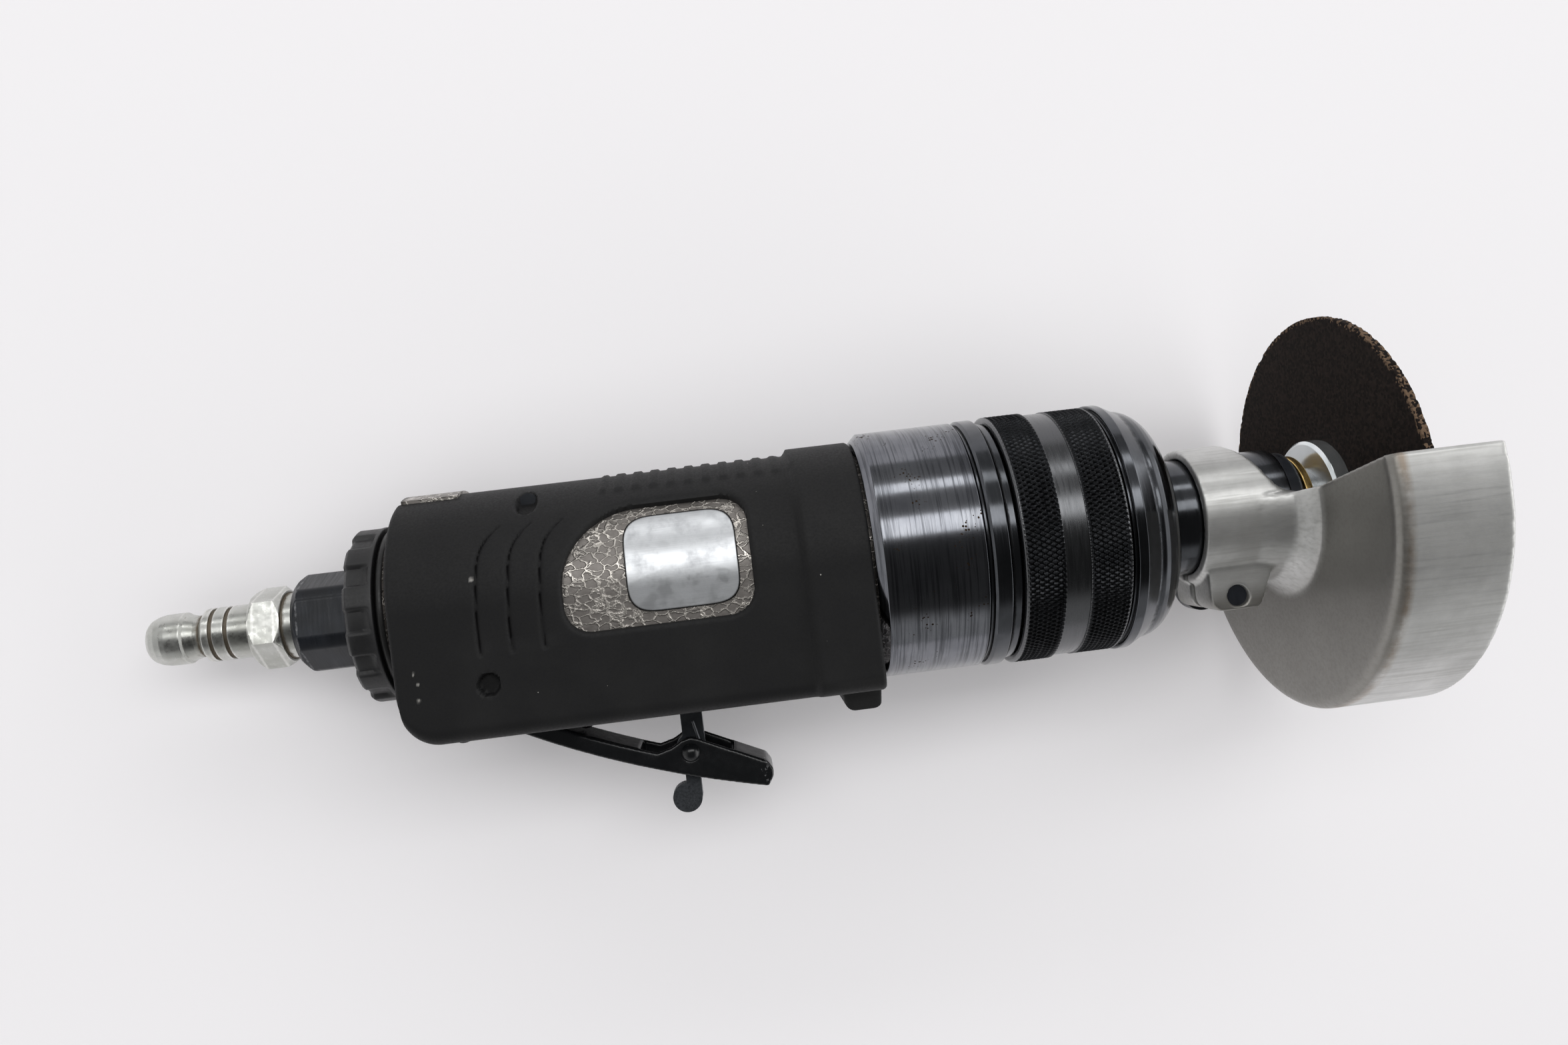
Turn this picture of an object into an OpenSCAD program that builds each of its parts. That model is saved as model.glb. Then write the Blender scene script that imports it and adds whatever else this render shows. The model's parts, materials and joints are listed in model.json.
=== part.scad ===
// Air driven cut off tool with an in-line abrasive wheel, a lever throttle and a half guard.
// Each piece is drawn with the motor axis along X, inlet at the low end and wheel at the high end.
// The lever is on the -Y side. lie() then lays the whole tool down on its flank, with Z up.

/* [Air inlet] */
// Length of the plug outside the inlet bushing
plug_l = 30.3; // [29:0.1:34]
// Radius of the plug's nose, which a hose coupler slides over
plug_nose_r = 5.15; // [4.6:0.05:5.3]
// Length of the nose's rounded end
plug_tip_l = 4.4; // [2:0.1:5]
// Length of the plain part of the nose
plug_nose_l = 2.9; // [2:0.1:3.2]
// Radius of the locking groove behind the nose
plug_groove_r = 4.2; // [3.8:0.1:4.4]
// Radius of the plug's ringed shank
plug_shank_r = 5.35; // [5.2:0.05:6]
// Width across the flats of the plug's hexagon
plug_hex_af = 14.3; // [13:0.1:16]
// Length of the plug's hexagon
plug_hex_l = 6.3; // [5.5:0.1:7]
// Radius of the plug's thread inside the bushing
plug_thread_r = 6.5; // [6:0.1:7]
// Radius of the air hole through the plug
plug_bore_r = 2.6; // [2:0.1:3]
// Width across the flats of the inlet bushing
bushing_af = 18; // [17:0.1:20]
// Radius to which the bushing's corners are turned
bushing_r = 9.75; // [9.5:0.05:10.5]
// Length of the bushing's hexagon behind the exhaust collar
bushing_hex_l = 13; // [11:0.1:15]
// Radius of the bushing's shank, on which the exhaust collar turns
bushing_shank_r = 9.4; // [9:0.05:9.6]

/* [Exhaust collar] */
// Outer radius of the exhaust collar
collar_r = 17.4; // [16.5:0.1:18.5]
// Length of the exhaust collar
collar_l = 5.7; // [5:0.1:8]
// Number of grip notches round its rear edge
collar_notches = 12; // [8:1:16]
// Width of a grip notch
notch_w = 4; // [2:0.1:5]
// Depth of a grip notch
notch_depth = 0.8; // [0.4:0.1:1.2]
// Radius of the cord of the ring seal in front of the collar
seal_wire_r = 0.9; // [0.6:0.05:1.1]

/* [Handle] */
// Length of the rubber sleeve
grip_l = 90; // [88:0.5:96]
// Radius of the sleeve's round back, also half its width
grip_r = 22.3; // [21.8:0.1:24]
// Distance from the motor axis to the sleeve's flat lever side
grip_bottom = 24.5; // [24:0.1:27]
// Thickness of the rubber sleeve
rubber_t = 1.6; // [1:0.1:2]
// Corner radius along the sleeve's lever side
grip_edge_r = 3; // [2.2:0.1:5]
// Corner radius at the rear end of the lever side
grip_heel_r = 7; // [4:0.5:9]
// Radius of the raised band at the front of the sleeve
band_r = 23.6; // [22.6:0.1:24.5]
// Length of the raised band
band_l = 12; // [8:0.5:16]
// Reach of the finger stop below the motor axis
stop_reach = 29; // [28:0.5:34]
// Length of the finger stop along the handle
stop_l = 7.5; // [6:0.5:10]
// Half width of the finger stop
stop_half_w = 15; // [10:0.5:18]
// Length of the window that shows the metal housing
window_l = 35.5; // [34:0.5:40]
// Height of the window
window_h = 23; // [21:0.5:24]
// Length of the rating plate
plate_l = 21.2; // [16:0.1:22]
// Height of the rating plate
plate_h = 18; // [14:0.1:18]
// Thickness of the rating plate
plate_t = 0.4; // [0.2:0.1:0.8]
// Half width of the metal land at the top of the rear end
land_half_w = 7; // [5:0.5:9]
// Length of that land
land_l = 12; // [8:0.5:16]

/* [Throttle] */
// Distance of the lever's pivot in front of the sleeve's rear end
pivot_from_rear = 17.1; // [16:0.1:19]
// Distance of the lever's pivot below the motor axis
pivot_drop = 14.2; // [13.6:0.1:15]
// Radius of the lever's pin
lever_pin_r = 2; // [1.5:0.1:2.4]
// Width of the lever
lever_w = 11; // [10.6:0.1:11.6]
// Thickness of the lever's arm
lever_t = 3.4; // [2.8:0.1:4]
// Clearance of the lever in its slot, each side
slot_gap = 0.5; // [0.3:0.1:0.8]
// Distance from the lever's pivot to the valve stem, along the handle
stem_from_pivot = 13.7; // [13:0.1:15]
// Radius of the valve stem
stem_r = 1.85; // [1.5:0.05:2]
// Radius of the valve's cross bore
valve_bore_r = 5.5; // [5:0.1:5.8]
// Radius of the valve's head
valve_head_r = 4; // [3.6:0.1:4.4]
// Distance from the lever's pivot to the latch pin, along the handle
latch_from_pivot = 34.2; // [33:0.1:36]
// Distance of the latch pin below the lever's pivot
latch_drop = 20.5; // [20:0.1:21]
// Radius of the latch pin
latch_pin_r = 1.5; // [1.2:0.1:1.8]
// Thickness of the latch
latch_t = 2.6; // [2:0.1:3]
// Radius of the latch's thumb tab
tab_r = 3; // [2.6:0.1:3.6]
// Wire diameter of the two springs
wire_d = 0.6; // [0.5:0.05:0.7]

/* [Motor] */
// Radius of the motor bore
motor_r = 18; // [17.6:0.1:18.2]
// Distance from the motor cylinder's front end to the front end of the sleeve
cylinder_setback = 6.2; // [5.8:0.1:8]
// Bore radius of the motor cylinder
cylinder_bore_r = 14.8; // [14.5:0.1:15]
// Offset of that bore from the motor axis
eccentric = 1.6; // [1.2:0.1:1.8]
// Radius of the rotor
rotor_r = 12.6; // [12:0.1:12.7]
// Number of vanes
vane_count = 5; // [4:1:6]
// Thickness of a vane
vane_t = 2; // [1.5:0.1:2.5]
// Outer radius of the ball bearings
bearing_r = 9.5; // [9.3:0.1:9.7]
// Bore radius of the ball bearings
shaft_r = 4; // [3.8:0.1:4.2]
// Width of the ball bearings
bearing_w = 6; // [5:0.5:6]
// Radius of the bearing balls
ball_r = 1.5; // [1.3:0.05:1.6]
// Number of balls in each bearing
ball_count = 8; // [6:1:9]

/* [Head] */
// Radius of the polished clamp nut in front of the handle
nut_r = 25; // [24.6:0.1:26]
// Length of the clamp nut
nut_l = 21; // [20:0.5:24]
// Radius of the ring in front of the clamp nut
ring_r = 25.2; // [24.9:0.1:26]
// Length of that ring with its two grooves
ring_l = 6.1; // [5:0.1:10]
// Radius of the knurled lock collar
lock_r = 25.4; // [25:0.1:26]
// Length of the lock collar
lock_l = 20.9; // [18:0.1:24]
// Radius of the carrier that the lock collar turns on
carrier_r = 21; // [20.5:0.1:21.5]
// Radius of the nose piece at its rear
nose_r = 25.3; // [25:0.1:26]
// Length of the nose piece
nose_l = 12; // [11:0.1:15]

/* [Spindle] */
// Radius of the neck that holds the spindle
neck_r = 12; // [11.8:0.1:12.4]
// Length of the neck in front of the nose piece
neck_l = 25.5; // [24:0.5:28]
// Radius of the cap at the end of the neck
cap_r = 11; // [10.6:0.1:11.4]
// Distance from the cap to the wheel's rear face
wheel_reach = 9; // [8.5:0.5:10]
// Radius of the two clamping flanges
flange_r = 12.7; // [11.5:0.1:14]
// Thickness of a clamping flange
flange_t = 3.5; // [3:0.1:4]

/* [Wheel and guard] */
// Radius of the cutting wheel
wheel_r = 38.1; // [36:0.1:38.6]
// Thickness of the cutting wheel
wheel_t = 1.6; // [1:0.1:3.2]
// Radius of the wheel's hole and of the spindle's pilot in it
arbor_r = 4.75; // [4.5:0.05:5]
// Clearance from the wheel's edge to the inside of the guard's skirt
wheel_gap = 2.6; // [1.5:0.1:5]
// Depth of the guard from its plate's back to its rim
guard_depth = 21.2; // [19:0.1:25]
// Wall thickness of the guard
guard_t = 2; // [1.6:0.1:2.4]
// Angle that the guard covers
guard_span = 203; // [180:1:210]
// Length of the guard's clamp on the neck
clamp_l = 21.3; // [20:0.1:22.5]
// Wall thickness of the clamp
clamp_t = 1.9; // [1.5:0.1:2.4]
// Reach of the clamp's ears from the motor axis
ear_reach = 19.5; // [18.5:0.5:21]
// Length of the ears along the neck, at their tips
ear_l = 10; // [9:0.5:11]
// Radius of the clamp screw
clamp_screw_r = 2.1; // [1.9:0.1:2.5]

/* [Hidden] */
$fn = 96;

// Fits: running radial clearance, gap between moving faces, overlap of cuts
run_fit = 0.05;
face_gap = 0.3;
cut = 1;

// Stations along the motor axis, from the collar's rear face at 0
bushing_x = -bushing_hex_l;
socket_l = 9;
plug_hex_turn = 17.5;
bushing_turn = 21.5;
bushing_bore_r = 5;
plug_x = bushing_x - plug_l;
seal_x = collar_l + face_gap;
flange_x = seal_x + 2 * seal_wire_r;
rear_flange_l = 1.7;
grip_x = flange_x + rear_flange_l;
grip_end = grip_x + grip_l;
bushing_depth = 10.5;
bushing_end = grip_x + bushing_depth;
pivot_x = grip_x + pivot_from_rear;
stem_x = pivot_x + stem_from_pivot;
latch_x = pivot_x + latch_from_pivot;
latch_y = -pivot_drop - latch_drop;
wall = 2.2;
motor_x = stem_x + valve_bore_r + wall;
rear_bearing_x = motor_x + face_gap;
plate_web = 2;
cylinder_x = rear_bearing_x + bearing_w + plate_web;
cylinder_end = grip_end - cylinder_setback;
front_bearing_x = cylinder_end + plate_web;
front_plate_end = front_bearing_x + bearing_w;
nut_gap = 0.5;
nut_x = grip_end + nut_gap;
nut_end = nut_x + nut_l;
nut_bore_l = 11;
spigot_end = nut_x + nut_bore_l - nut_gap;
spigot_r = motor_r + wall;
carrier_x = nut_end;
lock_x = nut_end + ring_l + face_gap;
lock_end = lock_x + lock_l;
nose_x = lock_end + face_gap;
nose_end = nose_x + nose_l;
neck_end = nose_end + neck_l;
cap_l = 3;
cap_end = neck_end + cap_l;
wheel_x = cap_end + wheel_reach;
flange_back_x = wheel_x - flange_t;
screw_head_x = wheel_x + wheel_t + flange_t;
guard_ahead = 2.3;
guard_plate_x = neck_end + guard_ahead;
clamp_x = guard_plate_x - clamp_l;
guard_rim_x = guard_plate_x + guard_depth;

// Handle section and slots
housing_r = grip_r - rubber_t;
housing_bottom = grip_bottom - rubber_t;
housing_edge_r = grip_edge_r - 1;
slot_half = lever_w / 2 + slot_gap;
slot_roof = -(motor_r + wall);
ledge_roof = -(grip_bottom - 0.9);
slot_rear = grip_x + 2.5;
ledge_x = latch_x + 1.4;
slot_front = ledge_x + 2.4;
hub_r = lever_pin_r + 2.8;
hub_roof = -(pivot_drop - hub_r - 0.8);
shank_roof = -(bushing_shank_r + 2);
hub_pocket_x = bushing_end + 0.5;
window_x = grip_x + 32.2;
window_y = -7;
plate_x = window_x + 11.9;
plate_y = window_y + 2.3;

// Lever outline: lower edge is a quadratic curve from the heel to the tip
lever_heel = [pivot_x - 6.6, -pivot_drop - 8.1];
lever_bend = [pivot_x + 18.4, -pivot_drop - 22.3];
lever_tip = [pivot_x + 49, -pivot_drop - 29.2];
lever_steps = 16;
lever_head_t = 0.62;
heel_bump_r = 2.1;
heel_bump = lever_heel + [-3.4, -2.8];
cheek_t = 0.9;
latch_slot_half = lever_w / 2 - cheek_t;
blade_half_w = 2.2;
blade_shift = 0.7;
blade_rise = 7.5;
tab_at = [latch_x - 1.9, latch_y - 9.8];

// Curves of the lever: its lower edge, direction and upper edge at a share of its length
function unit(v) = v / norm(v);
function lever_low(t) = pow(1 - t, 2) * lever_heel + 2 * t * (1 - t) * lever_bend + pow(t, 2) * lever_tip;
function lever_dir(t) = unit((1 - t) * (lever_bend - lever_heel) + t * (lever_tip - lever_bend));
function lever_high(t) = let (d = lever_dir(t)) lever_low(t) + lever_t * [-d[1], d[0]];
function lever_mid(t) = (lever_low(t) + lever_high(t)) / 2;
lever_top = [for (i = [0 : lever_steps]) lever_high(lever_head_t * i / lever_steps)];

// Throttle valve, along Y at the stem; the stem's tip stands just off the lever
valve_seat_y = -1;
valve_head_t = 2.4;
seal_t = 0.8;
stem_gap = 0.5;
stem_tip_y = lookup(stem_x, lever_top) + stem_gap;
plug_floor_y = 9;
spring_well = 3;
plug_tip_r = plug_bore_r + 0.3;
plug_pin_r = 1.95;
plug_pin_y = housing_r - plug_pin_r - 0.3;
plug_pin_x = stem_x - 4.7;

// Air ways: port from the valve to the motor, feed through the rear plate, two exhaust holes
port_r = 1.8;
port_y = -3.5;
feed_y = -11.5;
exhaust_at = [4, 12.3];

// Shafts and bearings
pitch_r = (bearing_r + shaft_r) / 2;
race_gap = 1;
web_hole_r = pitch_r - race_gap + 0.4;
groove_r = ball_r + 0.06;
spacer_bore_r = 13;
vane_h = 6.3;
vane_out = 0.1;
vane_gap = 0.2;
vane_foot_r = rotor_r + vane_out - vane_h;
coupling_r = 8;
coupling_hex_af = 7;
hex_l = 10;
coupling_x = front_plate_end + 3;
coupling_l = 2 * hex_l + 4;
carrier_bore_r = carrier_r - 5;
bearing_rear_x = nose_x - bearing_w - 2.6;
housing_flange_x = bearing_rear_x - 1;
bearing_front_x = neck_end - bearing_w - 2;
spindle_bore_r = bearing_r - 3;
shoulder_r = shaft_r + 1.5;
seat_r = shaft_r + 3;
screw_r = 3;
grip_w = 4;

// Guard
guard_r = wheel_r + wheel_gap + guard_t;
guard_bore_r = neck_r + run_fit;
clamp_r = guard_bore_r + clamp_t;
ear_half_w = 9;
slit_half = 0.8;
ear_x = clamp_x + 1.2;
ear_slant = 0.44;
clamp_screw_x = ear_x + 5.6;
clamp_screw_y = -(ear_reach - 2.8);
slit_end = ear_x + ear_l + 2;
guard_corner_r = 2;

// Bench position: the sleeve's rear edge and the guard's round corner lie on the bench
corner_run = guard_plate_x + guard_corner_r - grip_x;
corner_drop = guard_r - guard_corner_r - grip_r;
lie_tilt = atan2(corner_drop, corner_run) + asin(guard_corner_r / norm([corner_run, corner_drop]));
lie_low_z = grip_x * sin(lie_tilt) - grip_r * cos(lie_tilt);
lie_rear_x = plug_x * cos(lie_tilt) - plug_tip_r * sin(lie_tilt);
lie_front_x = guard_rim_x * cos(lie_tilt) + guard_r * sin(lie_tilt);
lie_low_y = tab_at[1] - tab_r;

// Lays a piece down on the bench on its flank, box centred over the origin
module lie() {
    translate([-(lie_rear_x + lie_front_x) / 2, -(wheel_r + lie_low_y) / 2, -lie_low_z])
        rotate([0, -lie_tilt, 0])
            children();
}

// Solid of revolution about the motor axis from [radius, x] points
module lathe(points) {
    rotate([0, 90, 0]) rotate_extrude() polygon(points);
}

// Round bar along the motor axis
module rod(x0, x1, r) {
    translate([x0, 0, 0]) rotate([0, 90, 0]) cylinder(h = x1 - x0, r = r);
}

// Tube along the motor axis
module tube(x0, x1, outer, inner) {
    difference() {
        rod(x0, x1, outer);
        rod(x0 - cut, x1 + cut, inner);
    }
}

// Hexagonal bar along the motor axis, turned about it from a corner along Z
module hex_bar(x0, x1, flats, turn = 0) {
    translate([x0, 0, 0]) rotate([turn, 0, 0]) rotate([0, 90, 0])
        cylinder(h = x1 - x0, r = flats / sqrt(3), $fn = 6);
}

// Pin across the tool at a point of its side view
module cross_rod(at, z0, z1, r) {
    translate([at[0], at[1], z0]) cylinder(h = z1 - z0, r = r);
}

// Bar along Y at the valve stem
module valve_rod(y0, y1, r) {
    translate([stem_x, y0, 0]) rotate([-90, 0, 0]) cylinder(h = y1 - y0, r = r);
}

// Box given by its two corners
module block(low, high) {
    translate(low) cube(high - low);
}

// Rectangle with its own radius at each corner, from the lower left one counter-clockwise
module rounded_rect(size, radii) {
    corners = [[0, 0, 1, 1], [size[0], 0, -1, 1], [size[0], size[1], -1, -1], [0, size[1], 1, -1]];
    difference() {
        square(size);
        for (i = [0 : 3]) {
            r = radii[i];
            c = corners[i];
            difference() {
                translate([c[0], c[1]]) square(2 * r, center = true);
                translate([c[0] + c[2] * r, c[1] + c[3] * r]) circle(r);
            }
        }
    }
}

// Section of the handle: a round back and a flat lever side with rounded corners
module handle_section(r, bottom, edge) {
    circle(r);
    translate([-(bottom - edge), -r]) square([bottom - edge, 2 * r]);
    translate([-bottom, -(r - edge)]) square([bottom, 2 * (r - edge)]);
    for (side = [-1, 1])
        translate([-(bottom - edge), side * (r - edge)]) circle(edge);
}

// Handle section carried along the motor axis
module handle_bar(x0, x1, r, bottom, edge) {
    translate([x0, 0, 0]) rotate([90, 0, 90]) linear_extrude(x1 - x0) handle_section(r, bottom, edge);
}

// Side view shape carried across the tool
module across(z0, z1) {
    translate([0, 0, z0]) linear_extrude(z1 - z0) children();
}

// Slot for the lever, its hub and the latch's blade
module lever_slot() {
    low = -stop_reach;
    block([slot_rear, low, -slot_half], [ledge_x, slot_roof, slot_half]);
    block([ledge_x - cut, low, -slot_half], [slot_front, ledge_roof, slot_half]);
    block([slot_rear, low, -slot_half], [hub_pocket_x + cut, shank_roof, slot_half]);
    block([hub_pocket_x, low, -slot_half], [motor_x - 2, hub_roof, slot_half]);
}

// Points of a tube's ring round p, square to the direction t
function tube_ring(p, t, r, sides) =
    let (n = unit(cross([0, 0, 1], t)), b = cross(t, n))
    [for (k = [0 : sides - 1]) p + r * (cos(360 * k / sides) * n + sin(360 * k / sides) * b)];

// Wire swept along a path that never runs along Z
module wire(path, r) {
    sides = 6;
    last = len(path) - 1;
    rings = [for (i = [0 : last])
        tube_ring(path[i], unit(path[min(i + 1, last)] - path[max(i - 1, 0)]), r, sides)];
    points = [for (ring = rings) each ring];
    walls = [for (i = [0 : last - 1]) for (k = [0 : sides - 1])
        let (a = i * sides + k, b = i * sides + (k + 1) % sides)
        each [[a, a + sides, b + sides], [a, b + sides, b]]];
    caps = [for (k = [1 : sides - 2]) each [[0, k, k + 1],
        [last * sides, last * sides + k + 1, last * sides + k]]];
    polyhedron(points, concat(walls, caps));
}

// Helix about Z: radius, turns, rise per turn, start angle
rings_per_turn = 8;
function helix(r, turns, pitch, start) =
    [for (i = [0 : turns * rings_per_turn]) let (a = start + 360 * i / rings_per_turn)
        [r * cos(a), r * sin(a), pitch * i / rings_per_turn]];

// Least gap of a wire to itself, between points at least half a turn apart
function self_gap(path, d) =
    min([for (i = [0 : len(path) - 1]) for (j = [i + rings_per_turn / 2 : 1 : len(path) - 1])
        norm(path[i] - path[j])]) - d;

module air_plug() {
    relief = 2.6;
    edge_l = 0.5;
    edge = 0.4;
    thread_l = socket_l - 1;
    x1 = bushing_x - relief;
    hex_x = x1 - plug_hex_l;
    shank_x = hex_x - 9.7;
    neck_x = shank_x - 2.2;
    neck_l1 = 1.2;
    nose_end_x = plug_x + plug_tip_l + plug_nose_l;
    groove_x = [shank_x + 1.3, shank_x + 4.3];
    groove_w = 0.8;
    flat_r = plug_hex_af / 2;
    corner = 1.1;
    tip = [for (a = [0 : 15 : 90])
        [plug_tip_r + (plug_nose_r - plug_tip_r) * sin(a), plug_x + plug_tip_l * (1 - cos(a))]];
    color("silver") difference() {
        union() {
            lathe(concat([[0, plug_x]], tip, [[plug_nose_r, nose_end_x],
                [plug_nose_r - edge, nose_end_x + edge_l], [plug_groove_r, neck_x],
                [plug_groove_r, neck_x + neck_l1], [plug_shank_r, shank_x],
                [plug_shank_r, hex_x + cut], [0, hex_x + cut]]));
            intersection() {
                hex_bar(hex_x, x1, plug_hex_af, plug_hex_turn);
                lathe([[0, hex_x], [flat_r, hex_x], [flat_r + corner, hex_x + corner],
                    [flat_r + corner, x1 - corner], [flat_r, x1], [0, x1]]);
            }
            rod(x1 - cut, bushing_x + thread_l, plug_thread_r);
        }
        rod(plug_x - cut, bushing_x + thread_l + cut, plug_bore_r);
        for (x = groove_x) tube(x, x + groove_w, plug_shank_r + cut, plug_shank_r - 0.4);
    }
}

module inlet_bushing() {
    chamfer = 1.4;
    color("#22262c") difference() {
        union() {
            intersection() {
                hex_bar(bushing_x, -face_gap, bushing_af, bushing_turn);
                lathe([[0, bushing_x], [bushing_r - chamfer, bushing_x], [bushing_r, bushing_x + chamfer],
                    [bushing_r, 0], [0, 0]]);
            }
            rod(-cut, bushing_end, bushing_shank_r);
        }
        rod(bushing_x - cut, bushing_x + socket_l, plug_thread_r + run_fit);
        rod(bushing_x, bushing_end + cut, bushing_bore_r);
    }
}

module inlet_screen() {
    x0 = bushing_x + socket_l + 1;
    x1 = x0 + 0.8;
    hole_r = 0.9;
    ring_of_holes_r = 2.8;
    color("gainsboro") difference() {
        rod(x0, x1, bushing_bore_r);
        for (a = [0 : 60 : 300])
            rotate([a, 0, 0]) translate([0, ring_of_holes_r, 0]) rod(x0 - cut, x1 + cut, hole_r);
        rod(x0 - cut, x1 + cut, hole_r);
    }
}

module exhaust_collar() {
    bore = bushing_shank_r + run_fit;
    edge = 0.7;
    notch_l = collar_l - 1.2;
    floor_t = 2.4;
    rim_t = 2.2;
    hub_t = 1.4;
    slot_half_w = 1.6;
    slot_angles = [-25, 0, 25];
    color("#1b1b1c") difference() {
        lathe([[bore, 0], [collar_r - edge, 0], [collar_r, edge], [collar_r, collar_l],
            [collar_r - rim_t, collar_l], [collar_r - rim_t, floor_t], [bore + hub_t, floor_t],
            [bore + hub_t, collar_l], [bore, collar_l]]);
        for (i = [0 : collar_notches - 1])
            rotate([360 * i / collar_notches, 0, 0])
                block([-cut, collar_r - notch_depth, -notch_w / 2], [notch_l, collar_r + cut, notch_w / 2]);
        for (a = slot_angles)
            rotate([180 + a, 0, 0]) block([floor_t + 0.6, -slot_half_w, collar_r - 2 * rim_t],
                [collar_l + cut, slot_half_w, collar_r + cut]);
    }
}

module collar_seal() {
    middle_r = collar_r - 0.4 - seal_wire_r;
    color("#101010") rotate([0, 90, 0]) rotate_extrude()
        translate([middle_r, seal_x + seal_wire_r]) circle(seal_wire_r, $fn = 32);
}

module handle_housing() {
    seal_seat_r = collar_r - 0.4 - 2 * seal_wire_r;
    inlet_r = 4.5;
    exhaust_r = 2.2;
    land_top = grip_r + 0.6;
    color("#6f6a64") difference() {
        union() {
            handle_bar(grip_x, grip_end, housing_r, housing_bottom, housing_edge_r);
            rod(flange_x, grip_x + cut, collar_r + 0.2);
            rod(seal_x, flange_x + cut, seal_seat_r);
            rod(grip_end - cut, spigot_end, spigot_r);
            intersection() {
                rod(grip_x + 1, grip_x + land_l, land_top);
                block([grip_x, 0, -land_half_w], [grip_x + land_l, land_top, land_half_w]);
            }
        }
        rod(motor_x, spigot_end + cut, motor_r);
        rod(seal_x - cut, bushing_end + 0.3, bushing_shank_r + run_fit);
        rod(grip_x, stem_x, inlet_r);
        valve_rod(hub_roof - cut, grip_r + cut, valve_bore_r);
        translate([0, port_y, 0]) rod(stem_x, motor_x + cut, port_r);
        for (side = [-1, 1])
            translate([0, exhaust_at[0], side * exhaust_at[1]]) rod(seal_x - cut, motor_x + cut, exhaust_r);
        lever_slot();
        cross_rod([pivot_x, -pivot_drop], -grip_r, grip_r, lever_pin_r);
        cross_rod([plug_pin_x, plug_pin_y], -grip_r, grip_r, plug_pin_r);
        heel_cut(rubber_t);
    }
}

// Corner cut from the heel of the handle's side view, by an amount inside the sleeve's face
module heel_cut(inset) {
    size = grip_heel_r + cut;
    across(-grip_r - cut, grip_r + cut) difference() {
        translate([grip_x - cut, -grip_bottom - cut]) square(size);
        translate([grip_x + grip_heel_r, -grip_bottom + grip_heel_r]) circle(grip_heel_r - inset);
    }
}

// Window outline on the handle's flank, with one long curve
module window_shape() {
    translate([window_x, window_y]) rounded_rect([window_l, window_h], [5, 5, 5, 15]);
}

module grip_sleeve() {
    stop_x = grip_end - stop_l;
    stop_root = 15;
    fillet_r = 2.5;
    color("#262626") difference() {
        union() {
            handle_bar(grip_x, grip_end, grip_r, grip_bottom, grip_edge_r);
            handle_bar(grip_end - band_l, grip_end, band_r, grip_bottom, grip_edge_r);
            across(-stop_half_w, stop_half_w)
                translate([stop_x, -stop_reach]) rounded_rect([stop_l, stop_reach - stop_root], [2, 2, 1, 1]);
            across(-stop_half_w, stop_half_w) difference() {
                translate([stop_x - fillet_r, -grip_bottom - fillet_r]) square([fillet_r + 1, fillet_r + 2]);
                translate([stop_x - fillet_r, -grip_bottom - fillet_r]) circle(fillet_r);
            }
        }
        difference() {
            handle_bar(grip_x - cut, grip_end + cut, housing_r, housing_bottom, housing_edge_r);
            heel_cut(rubber_t);
        }
        across(0, grip_r + cut) window_shape();
        lever_slot();
        for (z = [-grip_r - cut, 0]) cross_rod([pivot_x, -pivot_drop], z, z + grip_r + cut, lever_pin_r);
        cross_rod([plug_pin_x, plug_pin_y], -grip_r, grip_r, plug_pin_r);
        block([grip_x - cut, 0, -land_half_w], [grip_x + land_l, grip_r + cut, land_half_w]);
        heel_cut(0);
    }
}

module rating_plate() {
    color("#d5d7d8") intersection() {
        across(0, grip_r) translate([plate_x, plate_y]) rounded_rect([plate_l, plate_h], [2.5, 2.5, 2.5, 2.5]);
        difference() {
            handle_bar(grip_x, grip_end, housing_r + plate_t, housing_bottom, housing_edge_r);
            handle_bar(grip_x - cut, grip_end + cut, housing_r, housing_bottom, housing_edge_r);
        }
    }
}

module lever_pin() {
    half = housing_r - 0.4;
    color("dimgray") cross_rod([pivot_x, -pivot_drop], -half, half, lever_pin_r);
}

module plug_pin() {
    half = sqrt(pow(housing_r, 2) - pow(plug_pin_y, 2)) + 0.6;
    color("dimgray") cross_rod([plug_pin_x, plug_pin_y], -half, half, plug_pin_r);
}

module valve_plug() {
    color("#8c7a4a") difference() {
        intersection() {
            valve_rod(plug_floor_y, housing_r + cut, valve_bore_r);
            rod(grip_x, grip_end, housing_r);
        }
        valve_rod(plug_floor_y - cut, plug_floor_y + spring_well, valve_head_r - 0.4);
        cross_rod([plug_pin_x, plug_pin_y], -grip_r, grip_r, plug_pin_r);
    }
}

module valve_bushing() {
    color("#b08d3c") difference() {
        valve_rod(hub_roof, valve_seat_y, valve_bore_r);
        valve_rod(valve_seat_y - 4, valve_seat_y + cut, stem_r + 1);
        valve_rod(hub_roof - cut, valve_seat_y, stem_r + run_fit);
        translate([0, port_y, 0]) rod(stem_x, stem_x + valve_bore_r + cut, port_r);
    }
}

module valve_stem() {
    head_y = valve_seat_y + seal_t;
    color("#a9a9a4") {
        valve_rod(stem_tip_y + stem_r, head_y + cut, stem_r);
        translate([stem_x, stem_tip_y + stem_r, 0]) sphere(stem_r);
        valve_rod(head_y, head_y + valve_head_t, valve_head_r);
    }
}

module valve_seal() {
    color("#151515") difference() {
        valve_rod(valve_seat_y + 0.05, valve_seat_y + seal_t, valve_head_r);
        valve_rod(valve_seat_y - cut, valve_seat_y + seal_t + cut, stem_r);
    }
}

// Compression spring between the valve's head and its plug
valve_spring_y = valve_seat_y + seal_t + valve_head_t + wire_d / 2;
valve_spring_turns = 5;
valve_spring_l = plug_floor_y + spring_well - wire_d / 2 - valve_spring_y;
valve_spring_path = helix(valve_head_r - 1.2, valve_spring_turns, valve_spring_l / valve_spring_turns, 0);

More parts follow.
